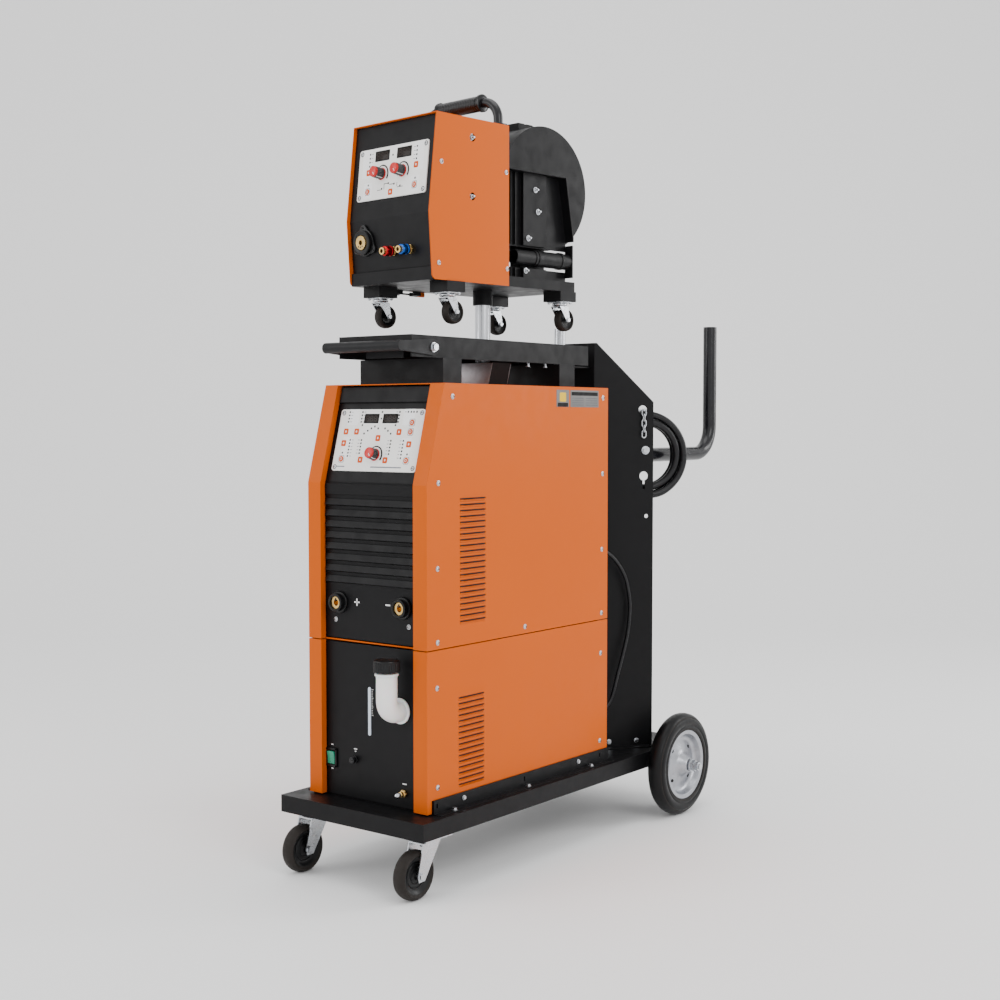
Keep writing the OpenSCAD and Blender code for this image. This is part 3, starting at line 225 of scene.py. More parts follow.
TREAD = moulded("taupe_tread", (0.018, 0.0145, 0.0125), 0.6, 350.0, 0.4, Specular_IOR_Level=0.2)
PLASTIC = moulded("black_plastic", (0.003, 0.003, 0.0035), 0.34, Specular_IOR_Level=0.3)
SHINY = moulded("glossy_black_plastic", (0.004, 0.004, 0.005), 0.20, 300.0, 0.1, Specular_IOR_Level=0.4)
# Near-black material for holes, slots and recesses: painted shade standing in for the shade inside them.
HOLE_SHADE = moulded("painted_hole_shade", (0.003, 0.003, 0.003), 0.8)
WHITE = moulded("white_membrane", (0.93, 0.92, 0.89), 0.4, 900.0, 0.08, Specular_IOR_Level=0.3)
PALE = moulded("pale_window", (0.99, 0.99, 0.99), 0.35, 900.0, 0.05, Specular_IOR_Level=0.3)
GREY_INK = moulded("grey_print", (0.20, 0.21, 0.24), 0.42, Specular_IOR_Level=0.2)
INK = moulded("black_print", (0.003, 0.003, 0.0035), 0.5, Specular_IOR_Level=0.15)
WHITE_INK = moulded("white_print", (0.82, 0.82, 0.82), 0.45)
KEY = moulded("orange_key", (0.62, 0.075, 0.0), 0.4, 900.0, 0.1, Specular_IOR_Level=0.15)
DIAL_SKIRT = moulded("grey_dial_skirt", (0.03, 0.031, 0.033), 0.24, 500.0, 0.1)
RED = moulded("red_cap", (0.55, 0.004, 0.004), 0.28, 900.0, 0.08)
RED_METAL = metal("red_anodised", (0.42, 0.012, 0.018), 0.28)
BLUE_METAL = metal("blue_anodised", (0.02, 0.11, 0.46), 0.28)
DISPLAY = moulded("display_glass", (0.007, 0.005, 0.004), 0.16, 900.0, 0.03, Specular_IOR_Level=0.15)
SEGMENT = moulded("unlit_segment", (0.035, 0.022, 0.017), 0.4, Specular_IOR_Level=0.15)
TANK = moulded("tank_polyethylene", (0.90, 0.89, 0.87), 0.38, 160.0, 0.12, Subsurface_Weight=0.25,
               Subsurface_Scale=0.01)
GREEN = moulded("green_rocker", (0.01, 0.30, 0.17), 0.18, 700.0, 0.05, Transmission_Weight=0.15)
GAUGE = moulded("gauge_strip", (0.62, 0.70, 0.80), 0.25, 300.0, 0.1)
STICKER = moulded("grey_sticker", (0.16, 0.155, 0.15), 0.45, Specular_IOR_Level=0.2)
BRIGHT = metal("bright_tube", (0.62, 0.63, 0.66), 0.2, (40, 40, 1), (0.56, 0.57, 0.60))
PALE_INK = moulded("pale_grey_print", (0.12, 0.12, 0.125), 0.5, Specular_IOR_Level=0.2)
LABEL_YELLOW = moulded("yellow_label", (0.75, 0.48, 0.0), 0.45, Specular_IOR_Level=0.2)
BARE_SHEET = metal("bare_sheet", (0.62, 0.62, 0.65), 0.5, (1, 1, 6))
STEEL_WIRE = metal("steel_wire", (0.66, 0.50, 0.40), 0.3, (20, 1, 1))

# ---------- mesh building ----------


class Piece:
    """Collects closed bodies, in mm, into one mesh with several materials."""

    def __init__(self, name, body, base=AT_CART):
        self.name, self.body, self.base = name, body, base
        self.bm = bmesh.new()
        self.mats = []

    def index(self, mat):
        if mat not in self.mats:
            self.mats.append(mat)
        return self.mats.index(mat)

    def add(self, bm, mat, at=None):
        """Takes over a small bmesh, placed by a frame in metres or by the piece's own one."""
        index = self.index(mat)
        for face in bm.faces:
            face.material_index = index
        bm.transform(Matrix.Scale(MM, 4))
        bm.transform(self.base if at is None else at)
        mesh = bpy.data.meshes.new("part")
        bm.to_mesh(mesh)
        bm.free()
        self.bm.from_mesh(mesh)
        bpy.data.meshes.remove(mesh)
        return self

    def box(self, low, high, mat, bevel=0.6, at=None, segments=2):
        bm = bmesh.new()
        bmesh.ops.create_cube(bm, size=1)
        low, high = Vector(low), Vector(high)
        for v in bm.verts:
            v.co = Vector([(a + b) / 2 + c * (b - a) for a, b, c in zip(low, high, v.co)])
        if bevel:
            bmesh.ops.bevel(bm, geom=bm.edges[:], offset=bevel, segments=segments,
                            affect="EDGES", profile=0.5)
        return self.add(bm, mat, at)

    def prism(self, outline, z0, z1, mat, bevel=0.0, at=None, segments=2):
        """Outline in the frame's x and y, between two heights."""
        bm = bmesh.new()
        face = bm.faces.new([bm.verts.new((x, y, z0)) for x, y in outline])
        grown = bmesh.ops.extrude_face_region(bm, geom=[face])
        for v in grown["geom"]:
            if isinstance(v, bmesh.types.BMVert):
                v.co.z = z1
        bmesh.ops.recalc_face_normals(bm, faces=bm.faces[:])
        if bevel:
            sharp = [e for e in bm.edges if e.calc_face_angle(0) > 0.5]
            bmesh.ops.bevel(bm, geom=sharp, offset=bevel, segments=segments, affect="EDGES", profile=0.5)
        return self.add(bm, mat, at)

    def lathe(self, profile, mat, at=None, turns=64):
        """Profile of (radius, height) points turned about the frame's z axis."""
        bm = bmesh.new()
        rings = []
        for r, z in profile:
            if r < 1e-6:
                rings.append([bm.verts.new((0, 0, z))])
            else:
                rings.append([bm.verts.new((r * math.cos(2 * math.pi * k / turns),
                                            r * math.sin(2 * math.pi * k / turns), z)) for k in range(turns)])
        for a, b in zip(rings, rings[1:]):
            for k in range(turns):
                n = (k + 1) % turns
                if len(a) == 1 and len(b) > 1:
                    bm.faces.new((a[0], b[k], b[n]))
                elif len(b) == 1 and len(a) > 1:
                    bm.faces.new((a[k], b[0], a[n]))
                elif len(a) > 1:
                    bm.faces.new((a[k], b[k], b[n], a[n]))
        bmesh.ops.recalc_face_normals(bm, faces=bm.faces[:])
        return self.add(bm, mat, at)

    def rod(self, r, z0, z1, mat, at=None, edge=0.5, turns=40):
        return self.lathe([(0, z0), (r - edge, z0), (r, z0 + edge), (r, z1 - edge), (r - edge, z1), (0, z1)],
                          mat, at, turns)

    def ring(self, outer, inner, z0, z1, mat, at=None, edge=0.4, turns=48):
        return self.lathe([(inner, z0), (outer - edge, z0), (outer, z0 + edge), (outer, z1 - edge),
                           (outer - edge, z1), (inner + edge, z1), (inner, z1 - edge), (inner, z0)],
                          mat, at, turns)

    def tube(self, points, r, mat, at=None, sides=20, closed=False):
        """Round tube along points."""
        bm = bmesh.new()
        pts = [Vector(p) for p in points]
        n = len(pts)
        normal = None
        rings = []
        for i in range(n):
            a, b = (pts[i - 1], pts[(i + 1) % n]) if closed else (pts[max(i - 1, 0)], pts[min(i + 1, n - 1)])
            t = (b - a).normalized()
            if normal is None:
                normal = t.orthogonal().normalized()
            normal = (normal - t * normal.dot(t)).normalized()
            side = t.cross(normal)
            rings.append([bm.verts.new(pts[i] + r * (math.cos(2 * math.pi * k / sides) * normal
                                                     + math.sin(2 * math.pi * k / sides) * side))
                          for k in range(sides)])
        pairs = list(zip(rings, rings[1:])) + ([(rings[-1], rings[0])] if closed else [])
        for a, b in pairs:
            for k in range(sides):
                bm.faces.new((a[k], a[(k + 1) % sides], b[(k + 1) % sides], b[k]))
        if not closed:
            bm.faces.new(rings[0])
            bm.faces.new(rings[-1])
        bmesh.ops.recalc_face_normals(bm, faces=bm.faces[:])
        return self.add(bm, mat, at)

    def flat(self, outlines, mat, z=0.0, at=None):
        """Thin printed shapes, each an outline of (x, y)."""
        bm = bmesh.new()
        for outline in outlines:
            low = [bm.verts.new((x, y, z - 0.3)) for x, y in outline]
            high = [bm.verts.new((x, y, z)) for x, y in outline]
            bm.faces.new(high)
            bm.faces.new(low[::-1])
            for k in range(len(outline)):
                n = (k + 1) % len(outline)
                bm.faces.new((low[k], low[n], high[n], high[k]))
        bmesh.ops.recalc_face_normals(bm, faces=bm.faces[:])
        return self.add(bm, mat, at)

    def done(self, slot, *nodes, modifiers=(), smooth=40):
        mesh = bpy.data.meshes.new(self.name)
        self.bm.to_mesh(mesh)
        self.bm.free()
        for mat in self.mats:
            mesh.materials.append(mat)
        mesh.shade_smooth()
        mesh.set_sharp_from_angle(angle=math.radians(smooth))
        obj = bpy.data.objects.new(self.name, mesh)
        bpy.context.scene.collection.objects.link(obj)
        for kind, settings in modifiers:
            made = obj.modifiers.new(kind.lower(), kind)
            for key, value in settings.items():
                setattr(made, key, value)
        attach(obj, self.body)
        if nodes:
            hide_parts(*nodes)
        return obj


def round_rect(w, h, r, cx=0.0, cy=0.0, steps=5):
    """Outline of a rectangle with round corners."""
    points = []
    for sx, sy, start in ((1, 1, 0), (-1, 1, 90), (-1, -1, 180), (1, -1, 270)):
        for k in range(steps + 1):
            a = math.radians(start + 90 * k / steps)
            points.append((cx + sx * (w / 2 - r) + r * math.cos(a), cy + sy * (h / 2 - r) + r * math.sin(a)))
    return points


def disc(r, cx=0.0, cy=0.0, count=24, start=0.0):
    angles = [start + 2 * math.pi * k / count for k in range(count)]
    return [(cx + r * math.cos(a), cy + r * math.sin(a)) for a in angles]


def hexagon(r):
    return disc(r, count=6)


def pan_screw(piece, at, r=4.6, mat=None):
    """Domed cross-head screw on a washer, standing out along the frame's z axis."""
    mat = mat or ZINC
    piece.lathe([(0, 0), (r * 1.28, 0), (r * 1.28, 0.9), (r * 0.98, 1.0)] +
                [(r * math.cos(math.radians(a)), 1.0 + r * 0.62 * math.sin(math.radians(a)))
                 for a in range(0, 90, 18)] + [(r * 0.3, 1.0 + r * 0.60), (0, 1.0 + r * 0.45)], mat, at, 28)
    # Near-black cross: painted shade in the cross recess.
    for turn in (20, 110):
        piece.box((-r * 0.6, -r * 0.13, 1.0 + r * 0.40), (r * 0.6, r * 0.13, 1.02 + r * 0.63), HOLE_SHADE, 0,
                  spun(at, turn))


def hex_screw(piece, at, r=5.0, mat=None, stud=0.0):
    """Hexagon head on a washer, with a stud end if one is asked for."""
    mat = mat or ZINC
    piece.lathe([(0, 0), (r * 1.45, 0), (r * 1.5, 0.3), (r * 1.5, 1.1), (r * 1.4, 1.4), (0, 1.4)], mat, at,
                32)
    piece.prism(hexagon(r), 1.3, 1.3 + r * 0.72, mat, r * 0.09, at)
    if stud:
        piece.rod(r * 0.55, 1.0, 1.3 + r * 0.72 + stud, mat, at, 0.6, 24)


def plane(base, place, x, y):
    """A frame at place, in mm, from its x and y directions; z points out of the surface."""
    x, y = Vector(x), Vector(y)
    z = x.cross(y)
    turn = Matrix((x, y, z)).transposed().to_4x4()
    return base @ Matrix.Translation(Vector(place) * MM) @ turn


def joint_frame(name):
    """A frame at a joint, z along its axis and y as far up as that allows."""
    axis = Vector(JOINTS[name]["axis"]).normalized()
    up = Vector((0, 0, 1)) if abs(axis.z) < 0.9 else Vector((0, 1, 0))
    x = up.cross(axis).normalized()
    y = axis.cross(x)
    return Matrix.Translation(JOINTS[name]["pos_m"]) @ Matrix((x, y, axis)).transposed().to_4x4()


def on_front(x, z, y=0.0, base=AT_CART):
    return plane(base, (x, y, z), (1, 0, 0), (0, 0, 1))


def on_side(y, z, x=HALF_W, base=AT_CART):
    """On a right-hand surface, or on a left-hand one when x is negative."""
    return plane(base, (x, y, z), (0, 1 if x > 0 else -1, 0), (0, 0, 1))


def on_low_front(x, z):
    """On the feeder's slanted lower face."""
    lean = FEED_LOW / (FEED_KINK - 28)
    return turned(AT_FEEDER, (x, RECESS + lean * (FEED_KINK - z), z), "X", 90 + math.degrees(math.atan(lean)))


def on_back(x, z, y, base=AT_CART):
    return plane(base, (x, y, z), (-1, 0, 0), (0, 0, 1))


def smooth_route(points, steps=5):
    """Catmull-Rom curve through the points."""
    pts = [Vector(p) for p in points]
    out = []
    for i in range(len(pts) - 1):
        a, b, c, d = pts[max(i - 1, 0)], pts[i], pts[i + 1], pts[min(i + 2, len(pts) - 1)]
        for s in range(steps):
            f = s / steps
            out.append(0.5 * (2 * b + (c - a) * f + (2 * a - 5 * b + 4 * c - d) * f * f
                              + (3 * b - a - 3 * c + d) * f ** 3))
    return out + [pts[-1]]


# ---------- cords ----------

MAINS_D = 17
LEAD_D = 9
COIL_C = Vector((139, 845, 868))
COIL_AXIS = Vector((0.789, -0.614, 0))
COIL_OUT = Vector((0.614, 0.789, 0))
UP = Vector((0, 0, 1))
COIL_R = (79.5, 98.5)               # inner and outer layer of turns
COIL_PITCH = 17.6
COIL_START = 9

MAINS_RISE = [(20, 674, 600), (20, 690, 600), (20, 704, 600.5), (20, 719, 602.5), (20, 737.5, 610),
              (22, 753, 622), (26, 765, 637.5), (33, 772, 655.5), (43, 775, 675), (55, 775, 700),
              (66, 774, 725), (76, 773, 750), (84, 773, 775), (90, 773.5, 800), (94.5, 775, 824),
              (97, 776.5, 846)]
MAINS_TAIL = [(128, 827, 767), (113, 815, 759), (99, 804, 746), (89, 796, 729.5), (83, 791, 710),
              (80.5, 789.5, 689.5), (80.5, 789.5, 665), (80.5, 789.5, 642), (80.5, 789.5, 620)]
LEAD = [(110, 658, 648), (110, 675, 648), (111, 694, 646), (115, 714, 638), (121, 733, 624), (128, 750, 603),
        (134, 764, 577), (137, 773, 547), (139, 778, 510), (138, 777, 475), (137, 771, 440), (134, 762, 405),
        (130, 752, 370), (125, 743, 335), (120, 738, 305), (116, 731, 283), (113, 717, 268), (111, 698, 262),
        (110, 678, 262), (110, 658, 262)]


def coil_points():
    """Two turns side by side, then nearly two more wound over them on the way back."""
    points = []
    for k in range(1, 75):
        t = k / 20
        grow = min(max((t - 1.9) / 0.2, 0), 1)
        radius = COIL_R[0] + (COIL_R[1] - COIL_R[0]) * grow * grow * (3 - 2 * grow)
        side = COIL_START - COIL_PITCH * (t if t < 2 else 4 - t)
        angle = math.radians(180 - 360 * t)
        points.append(COIL_C + radius * (math.cos(angle) * COIL_OUT + math.sin(angle) * UP)
                      + side * COIL_AXIS)
    return points


def cord_piece(name, points, d, slot, nodes, **facts):
    path = smooth_route(points)
    cord = Piece(name, "cart").tube(path, d / 2, CABLE, sides=16).done(slot, *nodes)
    return cord


plug = Piece("mains_plug_body", "cart")
PLUG_AT = turned(AT_CART, MAINS_TAIL[-1], "X", 180)
plug.lathe([(MAINS_D / 2 - 1, -3), (10.6, -3), (11.4, 4), (10.6, 6), (12.6, 8), (11.8, 13), (13.8, 15),
            (12.9, 20), (15, 22), (14.2, 27), (16.5, 30), (19, 33), (20.5, 37), (20.8, 70), (22, 76),
            (24.4, 79), (24.8, 88), (23.6, 89), (23.6, 115), (21.2, 116), (21.0, 94), (0, 93)], RUBBER,
           PLUG_AT)
for k in range(18):
    plug.box((20.2, -1.3, 38), (21.7, 1.3, 72), RUBBER, 0.5,
             spun(PLUG_AT, 20 * k))
for k in range(5):
    plug.rod(2.5, 92, 112, BRASS, moved(spun(PLUG_AT, 30 + 72 * k), 14), 0.8, 20)
plug = plug.done("cable_rubber", "mains_plug")
cord_piece("mains_cord", MAINS_RISE + coil_points() + MAINS_TAIL, MAINS_D, "cable_rubber",
           ("mains_cable", "mains_coil"), far_end="plug", stiffness="stiff", lay="coiled", with_pieces=[plug])
cord_piece("cooler_cord", LEAD, LEAD_D, "cable_rubber", ("cooler_lead",),
           far_end="object", stiffness="stiff", lay="loose")

# ---------- CAD parts that keep their shape ----------

KEEP = {
    BLACK: ["cart_deck", "rear_column", "top_platform", "platform_supports", "power_front", "cooler_front",
            "power_rear", "feeder_chassis", "feeder_front", "drum_housing", "drum_cover"],
    DARK: ["front_handle"],
    SMOOTH_BLACK: ["cable_hook"],
    ORANGE: ["power_shell", "cooler_shell", "feeder_cover", "feeder_door"],
    BRIGHT: ["posts"],
    ZINC: ["bottle_chain", "rear_axle", "caster_plates", "frame_bolts", "caster_fork_left",
           "caster_fork_right", "small_fork_fl", "small_fork_fr", "small_fork_rl", "small_fork_rr"],
    RUBBER: ["hose_boot"],
    RED: ["breaker_lever"],
    ZINC_MATT: ["inner_modules", "wire_drive"],
    STEEL_WIRE: ["wire_spool"],
}
for mat, nodes in KEEP.items():
    for node in nodes:
        obj = bpy.data.objects[node]
        obj.data.materials.clear()
        obj.data.materials.append(mat)

# ---------- louvres ----------

LOUVRE_W = 84


def louvres(y0, z0, count):
    """Pressed hoods under the slots, on both sides of the cabinet."""
    piece = Piece("louvres_%d" % z0, "cart")
    for side in (1, -1):
        for i in range(count):
            z = z0 + 11.9 * i
            at = on_side(0, 0, side * HALF_W)
            y = y0 if side > 0 else -y0 - LOUVRE_W
            bm = bmesh.new()
            outer = [(y, z - 4, 0), (y + LOUVRE_W, z - 4, 0), (y + LOUVRE_W, z + 0.6, 0), (y, z + 0.6, 0)]
            lip = [(y + 9, z + 0.9, 3.1), (y + LOUVRE_W - 9, z + 0.9, 3.1)]
            inner = [(y + 9, z - 0.4, 2.4), (y + LOUVRE_W - 9, z - 0.4, 2.4)]
            v = [bm.verts.new(p) for p in outer + lip + inner]
            for face in ((0, 1, 5, 4), (1, 2, 5), (0, 4, 3), (4, 5, 7, 6), (5, 2, 7), (4, 6, 3), (6, 7, 2, 3),
                         (0, 3, 2, 1)):
                bm.faces.new([v[k] for k in face])
            bmesh.ops.recalc_face_normals(bm, faces=bm.faces[:])
            piece.add(bm, ORANGE, at)
            # Near-black strip filling each slot: painted shade of the opening under the hood.
            piece.box((y + 2, z, -0.4), (y + LOUVRE_W - 2, z + 3.4, 0.12), HOLE_SHADE, 0, at)
    return piece.done("orange_powder", smooth=30)


louvres(104, 540, 22)
louvres(99, 205, 16)

# ---------- screws ----------

screws = Piece("cabinet_screws", "cart")
for side in (1, -1):
    for y, z in ((81, 999), (36, 826), (33, 655), (33, 507), (324, 508), (618, 508), (619, 655), (621, 829),
                 (622, 1003), (31, 415), (32, 214), (615, 415), (613, 211)):
        pan_screw(screws, on_side(y, z, side * HALF_W), 4.4)
for x, z in ((-100, 535), (103, 535)):
    pan_screw(screws, on_front(x, z, PANEL_Y), 4.0)
screws.done("zinc")

feeder_screws = Piece("feeder_screws", "feeder", AT_FEEDER)
for y, z in ((35, 240), (226, 240), (27, 34), (229, 36)):
    pan_screw(feeder_screws, on_side(y, z, FEED_W / 2, AT_FEEDER), 4.0)
for z in (178.6, 300):
    hex_screw(feeder_screws, on_side(125, z, FEED_W / 2 - 5, AT_FEEDER), 4.6, stud=6)
for y, z in ((337, 217), (345, 170), (314, 110), (306, 39)):
    hex_screw(feeder_screws, on_side(y, z, 111.5, AT_FEEDER), 4.4, stud=5)
feeder_screws.done("zinc")

latches = Piece("door_latches", "feeder_door", AT_FEEDER)
for y in (62, 200):
    at = on_side(y, 296, -FEED_W / 2, AT_FEEDER)
    latches.lathe([(0, 0), (12, 0), (12.4, 0.6), (12.4, 2.6), (11.4, 3.6), (0, 3.6)], PLASTIC, at, 40)
    latches.box((-9.5, -2, 3.2), (9.5, 2, 7.5), SHINY, 1.0, at)
latches.done("black_plastic")

# ---------- feeder's caster plates, drum latch, post bracket, labels ----------

races = Piece("feeder_caster_races", "feeder")
for name in ("fl", "fr", "rl", "rr"):
    low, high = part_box("small_fork_" + name)
    spot = Vector(JOINTS["small_swivel_" + name]["pos_m"])
    at = Matrix.Translation((spot.x, spot.y, high.z)) @ Matrix.Rotation(FEED_TURN, 4, "Z")
    races.ring(17.5, 12.6, 1.2, 6.4, ZINC, at, 1.6, 40)
    races.prism(round_rect(46, 40, 6), 7.6, 9.9, ZINC, 0.5, at)
    for sx in (-1, 1):
        for sy in (-1, 1):
            hex_screw(races, turned(at, (sx * 18.5, sy * 15.5, 7.7), "X", 180), 2.4)
races.done("zinc")

latch = Piece("drum_latch", "feeder", AT_FEEDER)
for y0 in (DRUM_Y - 33, DRUM_Y - 7):
    for k in range(5):
        y = y0 + 4.4 * k
        latch.box((7, y, DRUM_Z + DRUM_R + 6), (49, y + 2.6, DRUM_Z + DRUM_R + 12), SHINY, 0.7)
latch.done("black_plastic")

bracket = Piece("post_bracket_skin", "cart")
BRACKET_LOW, BRACKET_HIGH = 1026.5, 1078
BRACKET_FRONT, BRACKET_BACK = 352, 418
for y, side in ((BRACKET_FRONT, 1), (BRACKET_BACK, -1)):
    at = plane(AT_CART, (0, y, 0), (side, 0, 0), (0, 0, 1))
    bracket.prism([(-41.5, BRACKET_LOW), (41.5, BRACKET_LOW), (54, BRACKET_HIGH), (-54, BRACKET_HIGH)], 0,
                  0.8, BARE_SHEET, 0.2, at)
bracket.done("zinc")

labels = Piece("blank_labels", "cart")
for side in (1, -1):
    at = on_side(0, 0, side * HALF_W)
    labels.prism(round_rect(48, 38, 2, side * 463, 1000), 0, 0.5, STICKER, 0.1, at)
    labels.prism(round_rect(112, 38, 2, side * 548, 1000), 0, 0.5, STICKER, 0.1, at)
    labels.flat([round_rect(40, 9, 1, side * 463, 986), round_rect(104, 8, 1, side * 548, 1011)], INK, 0.6,
                at)
    labels.flat([round_rect(46, 2.2, 0.4, side * 548 + dx, 1001 - 5 * k, 1) for k in range(4)
                 for dx in (-27, 27)],
                PALE_INK, 0.6, at)
    labels.prism(round_rect(24, 20, 3, side * 463, 1003), 0.4, 0.7, LABEL_YELLOW, 0.1, at)
labels.done("white_panel")

# ---------- control panels ----------


def dots(places, size=3.8):
    return [round_rect(size, size, 0.4, x, y, 2) for x, y in places]


def ticks(places, w=5.0, h=1.2, dx=7.0):
    return [round_rect(w, h, 0.2, x + dx, y, 1) for x, y in places]


def square_key(piece, at, x, y):
    piece.prism(round_rect(13, 13, 2.6, x, y), 1.8, 2.9, KEY, 0.4, at)
    piece.flat([round_rect(3.6, 4.6, 1.4, x, y)], WHITE_INK, 3.0, at)


def round_key(piece, at, x, y):
    piece.prism(round_rect(15.5, 15.5, 3.4, x, y), 1.8, 2.7, GREY_INK, 0.3, at)
    piece.flat([round_rect(13.4, 13.4, 3.0, x, y)], WHITE, 2.8, at)
    spot = moved(at, x, y)
    piece.lathe([(0, 2), (6.0, 2), (6.0, 3.3), (5.4, 3.7), (0, 3.9)], KEY, spot, 28)
    piece.ring(3.0, 2.0, 3.6, 4.02, WHITE_INK, spot, 0.1, 24)


def display(piece, at, x, y, w, h):
    piece.prism(round_rect(w + 2.6, h + 2.6, 1.6, x, y), 1.9, 2.5, INK, 0.2, at)
    piece.prism(round_rect(w, h, 1.0, x, y), 2.4, 2.9, DISPLAY, 0.2, at)
    bars = []
    for k in (-1, 0, 1):
        cx = x + k * w * 0.28
        for dy in (-0.3, 0, 0.3):
            bars.append(round_rect(w * 0.13, 1.3, 0.3, cx, y + dy * h, 1))
        for dx in (-1, 1):
            for dy in (-0.15, 0.15):
                bars.append(round_rect(1.3, h * 0.22, 0.3, cx + dx * w * 0.09, y + dy * h, 1))
        bars.append(round_rect(1.2, 1.2, 0.3, cx + w * 0.135, y - 0.32 * h, 1))
    piece.flat(bars, SEGMENT, 2.96, at)


def film(piece, at, w, h):
    """White film with rounded corners, on its carrier."""
    piece.prism(round_rect(w, h, 6), -2.5, 2.4, WHITE, 0.4, at)
    for sx in (-1, 1):
        for sy in (-1, 1):
            spot = moved(at, sx * (w / 2 - 8), sy * (h / 2 - 8), 2.2)
            piece.ring(5.2, 3.4, 0, 0.35, INK, spot, 0.1, 28)
            pan_screw(piece, spot, 2.9)


def dial_print(piece, at, x, y, r):
    """Arc that widens clockwise around a knob."""
    outline = []
    for k in range(21):
        a = math.radians(215 - 250 * k / 20)
        outline.append((x + r * math.cos(a), y + r * math.sin(a)))
    for k in range(20, -1, -1):
        a = math.radians(215 - 250 * k / 20)
        wide = 0.6 + 4.0 * k / 20
        outline.append((x + (r + wide) * math.cos(a), y + (r + wide) * math.sin(a)))
    piece.flat([outline], INK, 2.5, at)


AT_POWER_PANEL = moved(AT_SLANT, y=91)
panel = Piece("power_panel", "cart", AT_POWER_PANEL)
film(panel, AT_POWER_PANEL, 232, 132)
for x in (-27, 25):
    display(panel, AT_POWER_PANEL, x, 46, 39, 18)
leds = [(x, y) for x in (-91, -55, 48) for y in (60, 53, 46, 39)]
leds += [(-50, 32), (0, 60), (0, 46), (42, 32)] + [(x, 60) for x in (71, 79, 86, 94)]
leds += [(-41, 14), (-32, 20), (-23, 25), (-14, 29), (-4, 25), (15, 25), (24, 20), (33, 14)]
leds += [(-77, -6.9 * k) for k in range(6)] + [(-45, -7 * k) for k in range(5)]
leds += [(37, -1 - 7 * k) for k in range(5)] + [(71, -1 - 7.2 * k) for k in range(6)]
leds += [(-93, -27.5), (87, -29)]
panel.flat(dots(leds), INK, 2.5, AT_POWER_PANEL)
panel.flat([round_rect(30, 34, 2, -78, 49), round_rect(30, 34, 2, 75, 49), round_rect(26, 44, 2, -84, -16),
            round_rect(26, 44, 2, 79, -17)], PALE, 2.44, AT_POWER_PANEL)
panel.flat(ticks([p for p in leds if p[0] in (-91, -55, -77)]) +
           ticks([p for p in leds if p[0] in (48, 71, 37, -45)], dx=-7.0), GREY_INK, 2.52, AT_POWER_PANEL)
panel.flat([round_rect(26, 2.2, 1, -93, -57), round_rect(84, 2.6, 1, 35, -57)], GREY_INK, 2.5, AT_POWER_PANEL)
for x, y in ((-93, 18), (-63, 18), (55, 17.5), (0, 4.5), (-94, -7), (87, -8), (-39, -42), (30, -42)):
    square_key(panel, AT_POWER_PANEL, x, y)
for x, y in ((86, 37.5), (86, 18), (-93, -41), (87, -42)):
    round_key(panel, AT_POWER_PANEL, x, y)
knob_place = AT_POWER_PANEL.inverted() @ Vector(JOINTS["main_knob_turn"]["pos_m"]) / MM
dial_print(panel, AT_POWER_PANEL, knob_place.x, knob_place.y, 16.5)
panel.done("white_panel", "control_panel")

panel = Piece("wire_panel", "feeder", AT_FEED_PANEL)
film(panel, AT_FEED_PANEL, 214, 110)
for x in (-34, 34):
    display(panel, AT_FEED_PANEL, x, 37, 43, 20)
leds = [(s * 73, y) for s in (-1, 1) for y in (44, 35.5, 27, 18.5)] + [(-1, 35), (-73, -22), (73, -22)]
line = [(-29, -34), (-9, -24), (9, -27), (28, -33)]
panel.flat([round_rect(30, 60, 2, -80, 24), round_rect(30, 60, 2, 80, 24), round_rect(26, 32, 2, -74, -33),
            round_rect(26, 32, 2, 72, -33)], PALE, 2.44, AT_FEED_PANEL)
panel.flat(dots(leds + line), INK, 2.5, AT_FEED_PANEL)
panel.flat(ticks([p for p in leds if p[1] > 0 and p[0] < -10]) +
           ticks([p for p in leds if p[1] > 0 and p[0] > 10], dx=-7.0), GREY_INK, 2.52, AT_FEED_PANEL)
panel.flat([round_rect(12, 1.2, 0.2, -37, -36, 1), round_rect(1.2, 12, 0.2, -22, -30, 1),
            round_rect(14, 1.2, 0.2, -16, -24, 1), round_rect(14, 1.2, 0.2, 1, -27, 1),
            round_rect(1.2, 8, 0.2, 18, -29, 1), round_rect(18, 1.2, 0.2, 28, -35, 1)], INK, 2.5,
           AT_FEED_PANEL)
for x, y in ((-75, 5), (73, 6), (-1, -43)):
    square_key(panel, AT_FEED_PANEL, x, y)
for x, y in ((-74, -36), (72, -35.5)):
    round_key(panel, AT_FEED_PANEL, x, y)
for x in (-32, 32):
    dial_print(panel, AT_FEED_PANEL, x, -2, 17)
panel.done("white_panel", "feeder_panel")


def knob(name, joint, body, node, h):
    """Red cap with a white line on a black knurled skirt with a red foot."""
    at = joint_frame(joint)
    piece = Piece(name, body, at)
    piece.lathe([(3.2, 0), (12.8, 0), (13.2, 0.6), (13.0, 1.6), (12, 1.9), (3.2, 1.9)], RED, at, 48)
    knurl = []
    for k in range(72):
        r = (11.9, 11.9, 11.1)[k % 3]
        knurl.append((r * math.cos(2 * math.pi * k / 72), r * math.sin(2 * math.pi * k / 72)))
    piece.prism(knurl, 1.8, h * 0.80, DIAL_SKIRT, 0, at)
    piece.lathe([(3.2, h * 0.5), (11.0, h * 0.74), (11.4, h * 0.81), (11.3, h - 1.2), (10.8, h - 0.4),
                 (9.8, h), (0, h)], RED, at, 48)
    piece.box((-0.7, -9.4, h - 0.2), (0.7, -2.5, h + 0.12), WHITE_INK, 0.1,
              spun(at, 35))
    piece.box((-0.6, -12.1, 3), (0.6, -11.0, h * 0.78), WHITE_INK, 0.1, spun(at, 35))
    return piece.done("knob_red", node)


